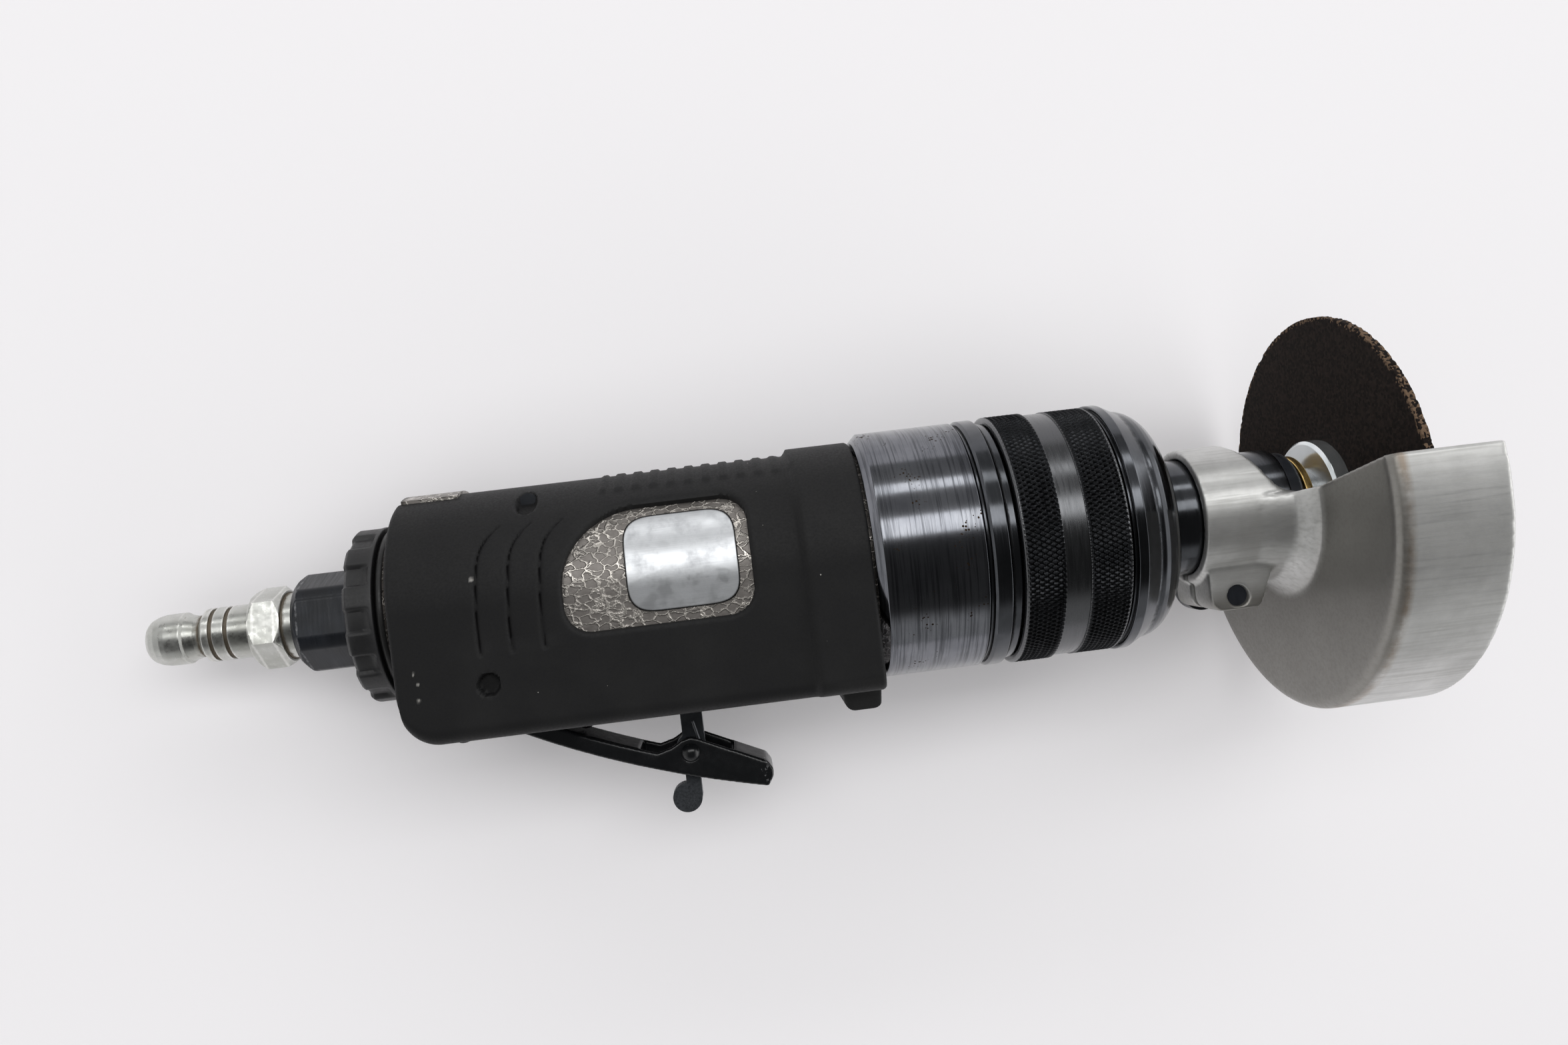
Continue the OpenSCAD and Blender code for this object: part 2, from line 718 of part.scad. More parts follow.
module valve_spring() {
    echo(valve_spring_least_gap = self_gap(valve_spring_path, wire_d));
    color("lightsteelblue") translate([stem_x, valve_spring_y, 0]) rotate([-90, 0, 0])
        wire(valve_spring_path, wire_d / 2);
}

// Side view of the lever's curved arm with its humped head at the front
module lever_arm() {
    hump = [latch_x + 0.4, latch_y + 3.2];
    lower = [for (i = [0 : lever_steps]) lever_low(i / lever_steps)];
    upper = [for (i = [lever_steps : -1 : 0]) lever_top[i]];
    polygon(concat(lower, [lever_tip + [1.2, 2], lever_tip + [1.3, 3.4], lever_tip + [0.3, 5.1],
        hump + [1.6, -0.6], hump, hump + [-1.8, -0.3], hump + [-4, -1.6]], upper));
}

// Side view of the web that joins the arm to its hub
module lever_web() {
    polygon([[pivot_x - hub_r + 0.4, -pivot_drop - 1], [pivot_x + hub_r - 0.2, -pivot_drop - 1],
        lever_mid(0.26), lever_mid(0.03)]);
}

// Side view of the heel that joins the arm to its rear bump
module lever_heel_plate() {
    polygon([heel_bump + [-0.9 * heel_bump_r, 0], heel_bump + [0.4, -0.85 * heel_bump_r], lever_mid(0.2),
        lever_mid(0.05), lever_heel + [-1.5, 1.5]]);
}

module throttle_lever() {
    half = lever_w / 2;
    pin = [latch_x, latch_y];
    color("#1c1f22") difference() {
        union() {
            across(-half, half) lever_arm();
            across(-half, half) lever_web();
            across(-half, half) lever_heel_plate();
            cross_rod([pivot_x, -pivot_drop], -half, half, hub_r);
            cross_rod(heel_bump, -half, half, heel_bump_r);
        }
        block([latch_x - 10, latch_y - 10, -latch_slot_half],
            [latch_x + 8.5, latch_y + 10, latch_slot_half]);
        cross_rod([pivot_x, -pivot_drop], -half - cut, half + cut, lever_pin_r + run_fit);
        cross_rod(pin, -half - cut, half + cut, latch_pin_r);
    }
}

module latch_pin() {
    half = lever_w / 2;
    head_r = latch_pin_r + 0.6;
    dome = 1.1;
    color("#26292c") {
        cross_rod([latch_x, latch_y], -half, half, latch_pin_r);
        for (side = [-1, 1]) intersection() {
            translate([latch_x, latch_y, side * (half + dome - head_r)]) sphere(head_r);
            translate([0, 0, side * (half + head_r)]) cube([500, 500, 2 * head_r], center = true);
        }
    }
}

// Side view of the latch: blade up into the handle, hub on its pin, thumb tab below
module latch_outline() {
    blade_x = latch_x + blade_shift;
    translate([blade_x - blade_half_w, latch_y]) square([2 * blade_half_w, blade_rise]);
    translate([blade_x, latch_y + blade_rise]) circle(blade_half_w);
    translate([latch_x, latch_y]) circle(latch_pin_r + 1.6);
    translate([latch_x - 1.8, tab_at[1]]) square([3, latch_y - tab_at[1]]);
    translate(tab_at) circle(tab_r);
    translate(tab_at) square([tab_r + 0.1, 3]);
}

module safety_latch() {
    color("#4c5054") difference() {
        union() {
            across(-latch_t / 2, latch_t / 2) latch_outline();
            cross_rod([latch_x, latch_y], -latch_slot_half + face_gap, 0, latch_pin_r + 1.2);
        }
        cross_rod([latch_x, latch_y], -lever_w, lever_w, latch_pin_r + run_fit);
    }
}

// Torsion spring on the latch pin: one leg along the lever, a coil, one leg up the blade
coil_r = latch_pin_r + 0.85;
coil_turns = 2;
coil_pitch = wire_d + 0.48;
coil_z = latch_t / 2 + face_gap + wire_d / 2;
latch_spring_path = concat(
    [[coil_r, -4.5, 0], [coil_r, -3, 0], [coil_r, -1.5, 0]],
    helix(coil_r, coil_turns, coil_pitch, 0),
    [for (s = [1.5 : 1.5 : 6]) [coil_r - 0.22 * s, s, coil_turns * coil_pitch]]);

module latch_spring() {
    echo(latch_spring_least_gap = self_gap(latch_spring_path, wire_d));
    color("#3a3d40") translate([latch_x, latch_y, coil_z]) wire(latch_spring_path, wire_d / 2);
}

// Ball bearing rings at a station
module outer_race(x) {
    difference() {
        tube(x, x + bearing_w, bearing_r, pitch_r + race_gap);
        ball_track(x);
    }
}

module inner_race(x) {
    difference() {
        tube(x, x + bearing_w, pitch_r - race_gap, shaft_r);
        ball_track(x);
    }
}

module ball_track(x) {
    rotate([0, 90, 0]) rotate_extrude() translate([pitch_r, x + bearing_w / 2]) circle(groove_r);
}

motor_bearings = [rear_bearing_x, front_bearing_x];
spindle_bearings = [bearing_rear_x, bearing_front_x];

module motor_outer_races() {
    color("lightgray") for (x = motor_bearings) outer_race(x);
}

module motor_inner_races() {
    color("lightgray") for (x = motor_bearings) inner_race(x);
}

module spindle_outer_races() {
    color("lightgray") for (x = spindle_bearings) outer_race(x);
}

module spindle_inner_races() {
    color("lightgray") for (x = spindle_bearings) inner_race(x);
}

module bearing_balls() {
    color("white") for (x = concat(motor_bearings, spindle_bearings), i = [0 : ball_count - 1])
        rotate([360 * i / ball_count, 0, 0]) translate([x + bearing_w / 2, pitch_r, 0]) sphere(ball_r);
}

module motor_rear_plate() {
    color("#9a9a94") difference() {
        rod(motor_x, cylinder_x, motor_r - run_fit);
        rod(motor_x - cut, rear_bearing_x + bearing_w, bearing_r);
        rod(motor_x, cylinder_x + cut, web_hole_r);
        translate([0, feed_y, 0]) rod(motor_x - cut, cylinder_x + cut, port_r);
        for (side = [-1, 1])
            translate([0, exhaust_at[0], side * exhaust_at[1]]) rod(motor_x - cut, cylinder_x + cut, port_r);
    }
}

module motor_cylinder() {
    color("#a7a7a2") difference() {
        rod(cylinder_x, cylinder_end, motor_r - run_fit);
        translate([0, eccentric, 0]) rod(cylinder_x - cut, cylinder_end + cut, cylinder_bore_r);
    }
}

module motor_front_plate() {
    color("#9a9a94") difference() {
        rod(cylinder_end, front_plate_end, motor_r - run_fit);
        rod(cylinder_end - cut, front_bearing_x + cut, web_hole_r);
        rod(front_bearing_x, front_plate_end + cut, bearing_r);
    }
}

module motor_spacer() {
    color("#85857f") tube(front_plate_end, nut_x + nut_bore_l, motor_r - run_fit, spacer_bore_r);
}

module rotor() {
    end_gap = face_gap;
    slot_w = vane_t + 0.1;
    slot_floor = vane_foot_r - vane_gap;
    color("#8f9194") difference() {
        union() {
            rod(cylinder_x + end_gap, cylinder_end - end_gap, rotor_r);
            rod(rear_bearing_x, coupling_x, shaft_r);
            hex_bar(coupling_x - cut, coupling_x + hex_l, coupling_hex_af);
        }
        for (i = [0 : vane_count - 1])
            rotate([360 * i / vane_count, 0, 0])
                block([cylinder_x, slot_floor, -slot_w / 2], [cylinder_end, rotor_r + cut, slot_w / 2]);
    }
}

module vanes() {
    end_gap = face_gap + 0.1;
    color("#6b4a2c") for (i = [0 : vane_count - 1])
        rotate([360 * i / vane_count, 0, 0])
            block([cylinder_x + end_gap, vane_foot_r, -vane_t / 2],
                [cylinder_end - end_gap, rotor_r + vane_out, vane_t / 2]);
}

module drive_coupling() {
    color("#77797c") difference() {
        rod(coupling_x, coupling_x + coupling_l, coupling_r);
        hex_bar(coupling_x - cut, coupling_x + coupling_l + cut, coupling_hex_af + 2 * run_fit);
    }
}

module clamp_nut() {
    bevel = 1.6;
    color("#3a3d42") lathe([[spigot_r + run_fit, nut_x], [nut_r - bevel, nut_x], [nut_r, nut_x + bevel],
        [nut_r, nut_end - 0.4], [nut_r - 0.4, nut_end], [carrier_bore_r, nut_end],
        [carrier_bore_r, nut_x + nut_bore_l], [spigot_r + run_fit, nut_x + nut_bore_l]]);
}

module head_ring() {
    step_r = ring_r - 1;
    rear_step = 0.7;
    front_step = 1.7;
    edge = 0.5;
    x0 = nut_end;
    x1 = nut_end + ring_l;
    color("#1d1f21") lathe([[carrier_r, x0], [step_r, x0], [step_r, x0 + rear_step],
        [ring_r - edge, x0 + rear_step], [ring_r, x0 + rear_step + edge], [ring_r, x1 - front_step - edge],
        [ring_r - edge, x1 - front_step], [step_r, x1 - front_step], [step_r, x1], [carrier_r, x1]]);
}

module head_carrier() {
    color("#54575a") tube(carrier_x, nose_x, carrier_r, carrier_bore_r);
}

module lock_collar() {
    bore = carrier_r + run_fit;
    smooth_r = lock_r - 0.5;
    front_r = lock_r - 0.3;
    smooth_x = lock_x + 0.37 * lock_l;
    smooth_l = 4.9;
    edge = 0.6;
    color("#161718") lathe([[bore, lock_x], [lock_r - edge, lock_x], [lock_r, lock_x + edge],
        [lock_r, smooth_x], [smooth_r, smooth_x], [smooth_r, smooth_x + smooth_l],
        [front_r, smooth_x + smooth_l], [front_r, lock_end - edge], [front_r - edge, lock_end],
        [bore, lock_end]]);
}

module nose_piece() {
    rear_groove_r = nose_r - 0.9;
    groove_l = 0.5;
    rim_l = 1.8;
    slope_l = 3.1;
    step = 1.7;
    rim_x = nose_x + groove_l;
    shoulder_x = rim_x + rim_l + slope_l;
    dome_r = nose_r - step;
    dome_l = nose_end - shoulder_x;
    face_r = neck_r + 2.5;
    dome = [for (a = [0 : 5 : 90])
        [face_r + (dome_r - face_r) * cos(a), shoulder_x + dome_l * sin(a)]];
    color("#232527") lathe(concat([[neck_r, nose_x], [rear_groove_r, nose_x], [rear_groove_r, rim_x],
        [nose_r, rim_x], [nose_r, rim_x + rim_l]], dome, [[neck_r, nose_end]]));
}

module spindle_housing() {
    color("#141516") difference() {
        union() {
            rod(housing_flange_x, nose_x, carrier_bore_r - run_fit);
            rod(nose_x - cut, neck_end, neck_r - run_fit);
        }
        rod(housing_flange_x - cut, bearing_rear_x + bearing_w, bearing_r);
        rod(bearing_rear_x, bearing_front_x + cut, spindle_bore_r);
        rod(bearing_front_x, neck_end + cut, bearing_r);
    }
}

module spindle() {
    hex_x = coupling_x + coupling_l - hex_l;
    shoulder_x = bearing_front_x + bearing_w;
    pilot_end = wheel_x + wheel_t - 0.4;
    color("#b4b6b8") difference() {
        union() {
            hex_bar(hex_x, hex_x + hex_l + cut, coupling_hex_af);
            rod(hex_x + hex_l, shoulder_x + cut, shaft_r);
            rod(shoulder_x, cap_end + 0.4 + cut, shoulder_r);
            rod(cap_end + 0.4, flange_back_x, seat_r);
            rod(flange_back_x - cut, pilot_end, arbor_r);
        }
        rod(flange_back_x - 9, pilot_end + cut, screw_r);
    }
}

module end_cap() {
    bore = shoulder_r + 0.4;
    color("#2a2a2b") difference() {
        union() {
            rod(bearing_front_x + bearing_w, neck_end + cut, bearing_r);
            rod(neck_end, cap_end, cap_r);
        }
        rod(bearing_front_x, cap_end + cut, bore);
        rod(bearing_front_x, bearing_front_x + bearing_w + 0.5, pitch_r + race_gap);
    }
}

module brass_ring() {
    width = 1.6;
    depth = 3;
    x0 = cap_end + 0.9;
    color("#b8892f") tube(x0, x0 + width, seat_r + depth, seat_r);
}

module inner_flange() {
    relief = 0.6;
    color("#c3cacb") lathe([[arbor_r + run_fit, flange_back_x], [flange_r - relief, flange_back_x],
        [flange_r, flange_back_x + relief], [flange_r, wheel_x], [flange_r - grip_w, wheel_x],
        [flange_r - grip_w, wheel_x - relief], [arbor_r + run_fit, wheel_x - relief]]);
}

module cutting_wheel() {
    color("#3a2f2a") tube(wheel_x, wheel_x + wheel_t, wheel_r, arbor_r + run_fit);
}

module outer_flange() {
    relief = 0.6;
    x0 = wheel_x + wheel_t;
    color("#c3cacb") lathe([[screw_r + run_fit, x0 + relief], [flange_r - grip_w, x0 + relief],
        [flange_r - grip_w, x0], [flange_r, x0], [flange_r, screw_head_x - relief],
        [flange_r - relief, screw_head_x], [screw_r + run_fit, screw_head_x]]);
}

module arbor_screw() {
    head_r = 5;
    head_l = 5;
    socket_af = 5;
    socket_depth = 3;
    color("#3b3d3f") difference() {
        union() {
            rod(flange_back_x - 8, screw_head_x + cut, screw_r - run_fit);
            rod(screw_head_x, screw_head_x + head_l, head_r);
        }
        hex_bar(screw_head_x + head_l - socket_depth, screw_head_x + head_l + cut, socket_af);
    }
}

// Sector of the guard, symmetrical about the lever side
module guard_sector() {
    half = guard_span / 2;
    reach = 2 * guard_r;
    rotate([0, 90, 0]) linear_extrude(4 * guard_rim_x, center = true)
        polygon(concat([[0, 0]], [for (i = [-4 : 4]) -reach * [sin(i * half / 4), cos(i * half / 4)]]));
}

module wheel_guard() {
    c = guard_corner_r;
    inner_c = max(c - guard_t, 0.5);
    color("#b9bcbd") difference() {
        union() {
            intersection() {
                lathe(concat([[guard_bore_r, guard_plate_x - 0.2]],
                    [for (a = [0 : 15 : 90]) [guard_r - c + c * sin(a), guard_plate_x + c - c * cos(a)]],
                    [[guard_r, guard_rim_x], [guard_r - guard_t, guard_rim_x]],
                    [for (a = [90 : -15 : 0]) [guard_r - guard_t - inner_c + inner_c * sin(a),
                        guard_plate_x + guard_t + inner_c - inner_c * cos(a)]],
                    [[guard_bore_r, guard_plate_x + guard_t]]));
                guard_sector();
            }
            tube(clamp_x, guard_plate_x + guard_t, clamp_r, guard_bore_r);
            difference() {
                across(-ear_half_w, ear_half_w) ear_outline();
                rod(clamp_x - 2 * cut, guard_rim_x, guard_bore_r);
            }
            intersection() {
                lathe([[guard_bore_r, ear_x + ear_l], [clamp_r, ear_x + ear_l],
                    [clamp_r + 1.2, guard_plate_x - 4], [clamp_r + 5, guard_plate_x + 0.5],
                    [guard_bore_r, guard_plate_x + 0.5]]);
                guard_sector();
            }
        }
        block([clamp_x - 3, -2 * guard_r, -slit_half], [slit_end, 0, slit_half]);
        cross_rod([clamp_screw_x, clamp_screw_y], -2 * ear_half_w, 2 * ear_half_w, clamp_screw_r + 0.05);
        open_side_cut();
    }
}

// Points of an arc, angles in degrees
function arc(at, r, from, to) =
    [for (i = [0 : 6]) let (a = from + (to - from) * i / 6) at + r * [cos(a), sin(a)]];

// Side view of an ear: upright rear edge, slanted front edge, rounded tips
module ear_outline() {
    rear_r = 2.5;
    front_r = 1.5;
    root_y = -8;
    tip_x = ear_x + ear_l + front_r * (ear_slant - norm([1, ear_slant]));
    root_x = ear_x + ear_l + ear_slant * (ear_reach + root_y);
    polygon(concat(arc([ear_x + rear_r, -ear_reach + rear_r], rear_r, 180, 270),
        arc([tip_x, -ear_reach + front_r], front_r, 270, 360 - atan(ear_slant)),
        [[root_x, root_y], [ear_x, root_y]]));
}

// Edge of the clamp on the guard's open side: distance behind the plate, share of the clamp's radius
open_edge = [[12.2, 1.05], [11.4, 0.946], [10.4, 0.875], [9.4, 0.781], [8.4, 0.652], [7.4, 0.495],
    [6.1, 0.337], [4.4, 0.251], [2.4, 0.208], [0, 0.194]];

// Curved cut that takes the clamp back to that edge
module open_side_cut() {
    half = clamp_r + 0.1;
    end_x = guard_rim_x;
    edge = [for (p = open_edge) [guard_plate_x - p[0], p[1] * clamp_r]];
    low = edge[len(edge) - 1];
    across(-half, half)
        polygon(concat(edge, [[end_x, low[1]], [end_x, 2 * clamp_r], [edge[0][0], 2 * clamp_r]]));
}

module clamp_screw() {
    head_r = 4.3;
    head_l = 4;
    socket_af = 3;
    socket_depth = 2.5;
    at = [clamp_screw_x, clamp_screw_y];
    color("#2b2d2f") difference() {
        union() {
            cross_rod(at, -ear_half_w - cut, ear_half_w - 1, clamp_screw_r);
            cross_rod(at, -ear_half_w - head_l, -ear_half_w, head_r);
        }
        translate([at[0], at[1], -ear_half_w - head_l - cut])
            cylinder(h = socket_depth + cut, r = socket_af / sqrt(3), $fn = 6);
    }
}

lie() air_plug();
lie() inlet_bushing();
lie() inlet_screen();
lie() exhaust_collar();
lie() collar_seal();
lie() handle_housing();
lie() grip_sleeve();
lie() rating_plate();
lie() lever_pin();
lie() plug_pin();
lie() valve_plug();
lie() valve_bushing();
lie() valve_stem();
lie() valve_seal();
lie() valve_spring();
lie() throttle_lever();
lie() latch_pin();
lie() safety_latch();
lie() latch_spring();
lie() motor_rear_plate();
lie() motor_cylinder();
lie() motor_front_plate();
lie() motor_spacer();
lie() rotor();
lie() vanes();
lie() motor_outer_races();
lie() motor_inner_races();
lie() bearing_balls();
lie() drive_coupling();
lie() clamp_nut();
lie() head_ring();
lie() head_carrier();
lie() lock_collar();
lie() nose_piece();
lie() spindle_housing();
lie() spindle_outer_races();
lie() spindle_inner_races();
lie() spindle();
lie() end_cap();
lie() brass_ring();
lie() inner_flange();
lie() cutting_wheel();
lie() outer_flange();
lie() arbor_screw();
lie() wheel_guard();
lie() clamp_screw();
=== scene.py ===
"""Pneumatic cut-off tool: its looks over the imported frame, in the order in which the tool is put together."""
import json

import bmesh
import bpy
import numpy as np
from mathutils import Matrix


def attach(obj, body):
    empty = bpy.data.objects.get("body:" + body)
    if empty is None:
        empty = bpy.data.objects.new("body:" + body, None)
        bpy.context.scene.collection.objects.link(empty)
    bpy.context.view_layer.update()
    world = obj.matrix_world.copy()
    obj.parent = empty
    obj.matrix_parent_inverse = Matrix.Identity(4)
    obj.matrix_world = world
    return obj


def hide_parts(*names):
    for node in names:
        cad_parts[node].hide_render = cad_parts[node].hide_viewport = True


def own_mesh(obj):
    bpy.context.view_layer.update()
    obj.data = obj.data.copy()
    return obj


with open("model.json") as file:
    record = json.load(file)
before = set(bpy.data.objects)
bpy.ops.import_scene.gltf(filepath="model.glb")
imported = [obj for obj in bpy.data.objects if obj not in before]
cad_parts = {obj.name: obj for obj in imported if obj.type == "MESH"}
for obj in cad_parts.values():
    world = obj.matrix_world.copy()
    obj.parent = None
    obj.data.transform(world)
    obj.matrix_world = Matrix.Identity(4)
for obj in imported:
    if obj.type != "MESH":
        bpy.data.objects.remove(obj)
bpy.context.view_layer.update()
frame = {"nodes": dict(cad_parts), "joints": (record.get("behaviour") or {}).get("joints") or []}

# Air plug
# A quick-change male plug for the air hose, turned from hexagon steel bar and nickel plated.
# It screws into the inlet bushing. Handling has smudged the plate, and dust sits in its grooves.
joints = {joint["name"]: joint for joint in frame["joints"]}
motor_axis = np.array(joints["wheel_spin"]["axis"])
face_axis = np.array(joints["throttle_lever"]["axis"])
back_axis = np.cross(face_axis, motor_axis)
tool_axes = np.stack([motor_axis, back_axis, face_axis])
axis_point = np.array(joints["wheel_spin"]["pos_m"])
axis_point_x = 150.0
tool_tilt = np.arctan2(motor_axis[2], motor_axis[0])
tool_origin = np.array([axis_point_x, 0.0, 0.0]) - tool_axes @ axis_point * 1000


def laid(points):
    """Bench metres of points in the tool's own millimetres: along the motor, towards its back, towards its face.
    Each point is a place on the motor axis plus its three distances along the tool's axes."""
    return axis_point + (points - np.array([axis_point_x, 0.0, 0.0])) @ tool_axes / 1000


def placed(name, data):
    """A new object of a mesh, lamp or camera, linked to the scene."""
    made = bpy.data.objects.new(name, data)
    bpy.context.scene.collection.objects.link(made)
    return made


def surface(name, grid, around=False, along=False, marks=None, closed=True, kept=None, inner=None):
    """Mesh of a grid of points in millimetres, a quad for each cell; around and along join the last column or row
    to the first. marks are point attributes by name, and kept says which cells stay. Every open edge is joined to
    its twin in the grid inner, if one is given. Points that no cell uses are left out, doubles are merged, and the
    faces of a closed surface are turned outwards."""
    rows, columns = grid.shape[:2]
    number = np.arange(rows * columns).reshape(rows, columns)
    if along:
        number = np.vstack([number, number[:1]])
    if around:
        number = np.hstack([number, number[:, :1]])
    cells = np.stack([number[:-1, :-1], number[1:, :-1], number[1:, 1:], number[:-1, 1:]], axis=-1)
    cells = cells.reshape(-1, 4) if kept is None else cells[kept]
    points = grid.reshape(-1, 3)
    if inner is not None:
        sides = cells[:, [[0, 1], [1, 2], [2, 3], [3, 0]]].reshape(-1, 2)
        first, times = np.unique(np.sort(sides, axis=1), axis=0, return_index=True, return_counts=True)[1:]
        rim = sides[first[times == 1]]
        cells = np.concatenate([cells, np.hstack([rim[:, ::-1], rim + rows * columns])])
        points = np.concatenate([points, inner.reshape(-1, 3)])
    used, cells = np.unique(cells, return_inverse=True)
    mesh = bpy.data.meshes.new(name)
    mesh.from_pydata(laid(points[used]), [], cells.reshape(-1, 4))
    for mark, values in (marks or {}).items():
        flat = np.broadcast_to(values, (rows, columns)).ravel()[used % (rows * columns)]
        mesh.attributes.new(mark, "FLOAT", "POINT").data.foreach_set("value", flat)
    work = bmesh.new()
    work.from_mesh(mesh)
    bmesh.ops.remove_doubles(work, verts=work.verts, dist=2e-7)
    if closed:
        bmesh.ops.recalc_face_normals(work, faces=work.faces)
    work.to_mesh(mesh)
    work.free()
    mesh.shade_smooth()
    mesh.set_sharp_from_angle(angle=np.radians(50))
    return placed(name, mesh)


broken_edge, wear_l = 0.08, 0.45


def rounded(corners):
    """Closed outline from corners (x, distance from the axis, corner radius): each corner becomes a quadratic arc
    between its two tangent points, with more points beside it on the straights. The second result is how far a point
    stands out: 1 on an outer corner, -1 in an inner one, fading over half a millimetre along the straights."""
    at = np.array([corner[:2] for corner in corners], float)
    arc = np.array([corner[2] if len(corner) > 2 else broken_edge for corner in corners])
    back, ahead = np.roll(at, 1, axis=0) - at, np.roll(at, -1, axis=0) - at
    back_l, ahead_l = np.linalg.norm(back, axis=1), np.linalg.norm(ahead, axis=1)
    inner = np.arccos(np.clip((back * ahead).sum(axis=1) / back_l / ahead_l, -1, 1))
    tangent = np.minimum(arc / np.tan(np.maximum(inner, 0.02) / 2), 0.45 * np.minimum(back_l, ahead_l))
    out = np.sign(np.round(back[:, 0] * ahead[:, 1] - back[:, 1] * ahead[:, 0], 9)) * np.minimum(1, np.pi - inner)
    into, away = at + back * (tangent / back_l)[:, None], at + ahead * (tangent / ahead_l)[:, None]
    share = np.linspace(0, 1, 6)[:, None]
    steps = np.array([0.15, 0.4, 0.9, 1.8])
    points, stands = [], []
    for i in range(len(at)):
        j = (i + 1) % len(at)
        points.append((1 - share) ** 2 * into[i] + 2 * share * (1 - share) * at[i] + share ** 2 * away[i])
        stands.append(np.full(len(share), out[i]))
        length = np.linalg.norm(into[j] - away[i])
        far = np.unique(np.concatenate([steps, length - steps, [length / 2]]))
        far = far[(far > 0.05) & (far < length - 0.05)]
        points.append(away[i] + (into[j] - away[i]) * (far / length)[:, None])
        stands.append(out[i] * np.exp(-far / wear_l) + out[j] * np.exp(-(length - far) / wear_l))
    return np.concatenate(points), np.concatenate(stands)


def turned(name, corners, first=0.0, steps=180, shape=None):
    """Turned piece: the rounded outline is carried round the motor axis. Angles run from the back towards the face,
    starting at first degrees. shape gives the distance from the axis from x, the outline's distance and the angle."""
    outline, stands = rounded(corners)
    angle = np.radians(first) + np.linspace(0, 2 * np.pi, steps, endpoint=False)
    x, far = outline[:, :1] + 0 * angle, outline[:, 1:] + 0 * angle
    if shape:
        far = shape(x, far, angle)
    grid = np.stack([x, far * np.cos(angle), far * np.sin(angle)], axis=-1)
    return surface(name, grid, around=True, along=True, marks={"edge": stands[:, None]})


def hexagon(x0, x1, across, turn):
    """Shape for turned: between x0 and x1 the distance from the axis is at most that of a hexagon's flats, half the
    width across flats over the cosine of the angle from the nearest flat's middle, which turn gives in degrees."""
    def cut(x, far, angle):
        off = (angle - np.radians(turn) + np.pi / 6) % (np.pi / 3) - np.pi / 6
        return np.where((x > x0) & (x < x1), np.minimum(far, across / 2 / np.cos(off)), far)
    return cut


def linear(colour):
    """Linear RGBA of an sRGB hex colour."""
    value = np.array([int(colour[i:i + 2], 16) for i in (1, 3, 5)]) / 255
    return (*np.where(value <= 0.04045, value / 12.92, ((value + 0.055) / 1.055) ** 2.4).tolist(), 1.0)


def add(tree, kind, inputs, out=0, **settings):
    """Adds a node with its settings, sets or links its inputs, by name or in order, and returns one of its outputs.
    A MapRange has in order its value, the range that comes in and the range that goes out."""
    node = tree.nodes.new("ShaderNode" + kind)
    for name, value in settings.items():
        setattr(node, name, value)
    for name, value in inputs.items() if isinstance(inputs, dict) else enumerate(inputs):
        if isinstance(value, bpy.types.NodeSocket):
            tree.links.new(value, node.inputs[name])
        else:
            node.inputs[name].default_value = value
    return node.outputs[out]


# A Mix node of two colours: its output, and its type; its sockets 0, 6 and 7 are the share and the two colours
colours = {"out": 2, "data_type": "RGBA"}


def wired(tree, shader, outputs):
    """Links node outputs to the shader's sockets by name."""
    for name, output in outputs.items():
        tree.links.new(output, shader[name])


def begun(name, metallic, roughness, colour="#808080"):
    """A material with its shader, and the tool's own millimetres at each point: the object's coordinates turned
    level with the motor axis and scaled by a thousand."""
    made = bpy.data.materials.new(name)
    made.use_nodes = True
    tree = made.node_tree
    shader = tree.nodes["Principled BSDF"].inputs
    shader["Base Color"].default_value = linear(colour)
    shader["Metallic"].default_value = metallic
    shader["Roughness"].default_value = roughness
    place = add(tree, "Mapping", {"Vector": add(tree, "TexCoord", {}, "Object"), "Location": tool_origin,
                                  "Rotation": (0, tool_tilt, 0), "Scale": (1000, 1000, 1000)})
    return made, tree, shader, place


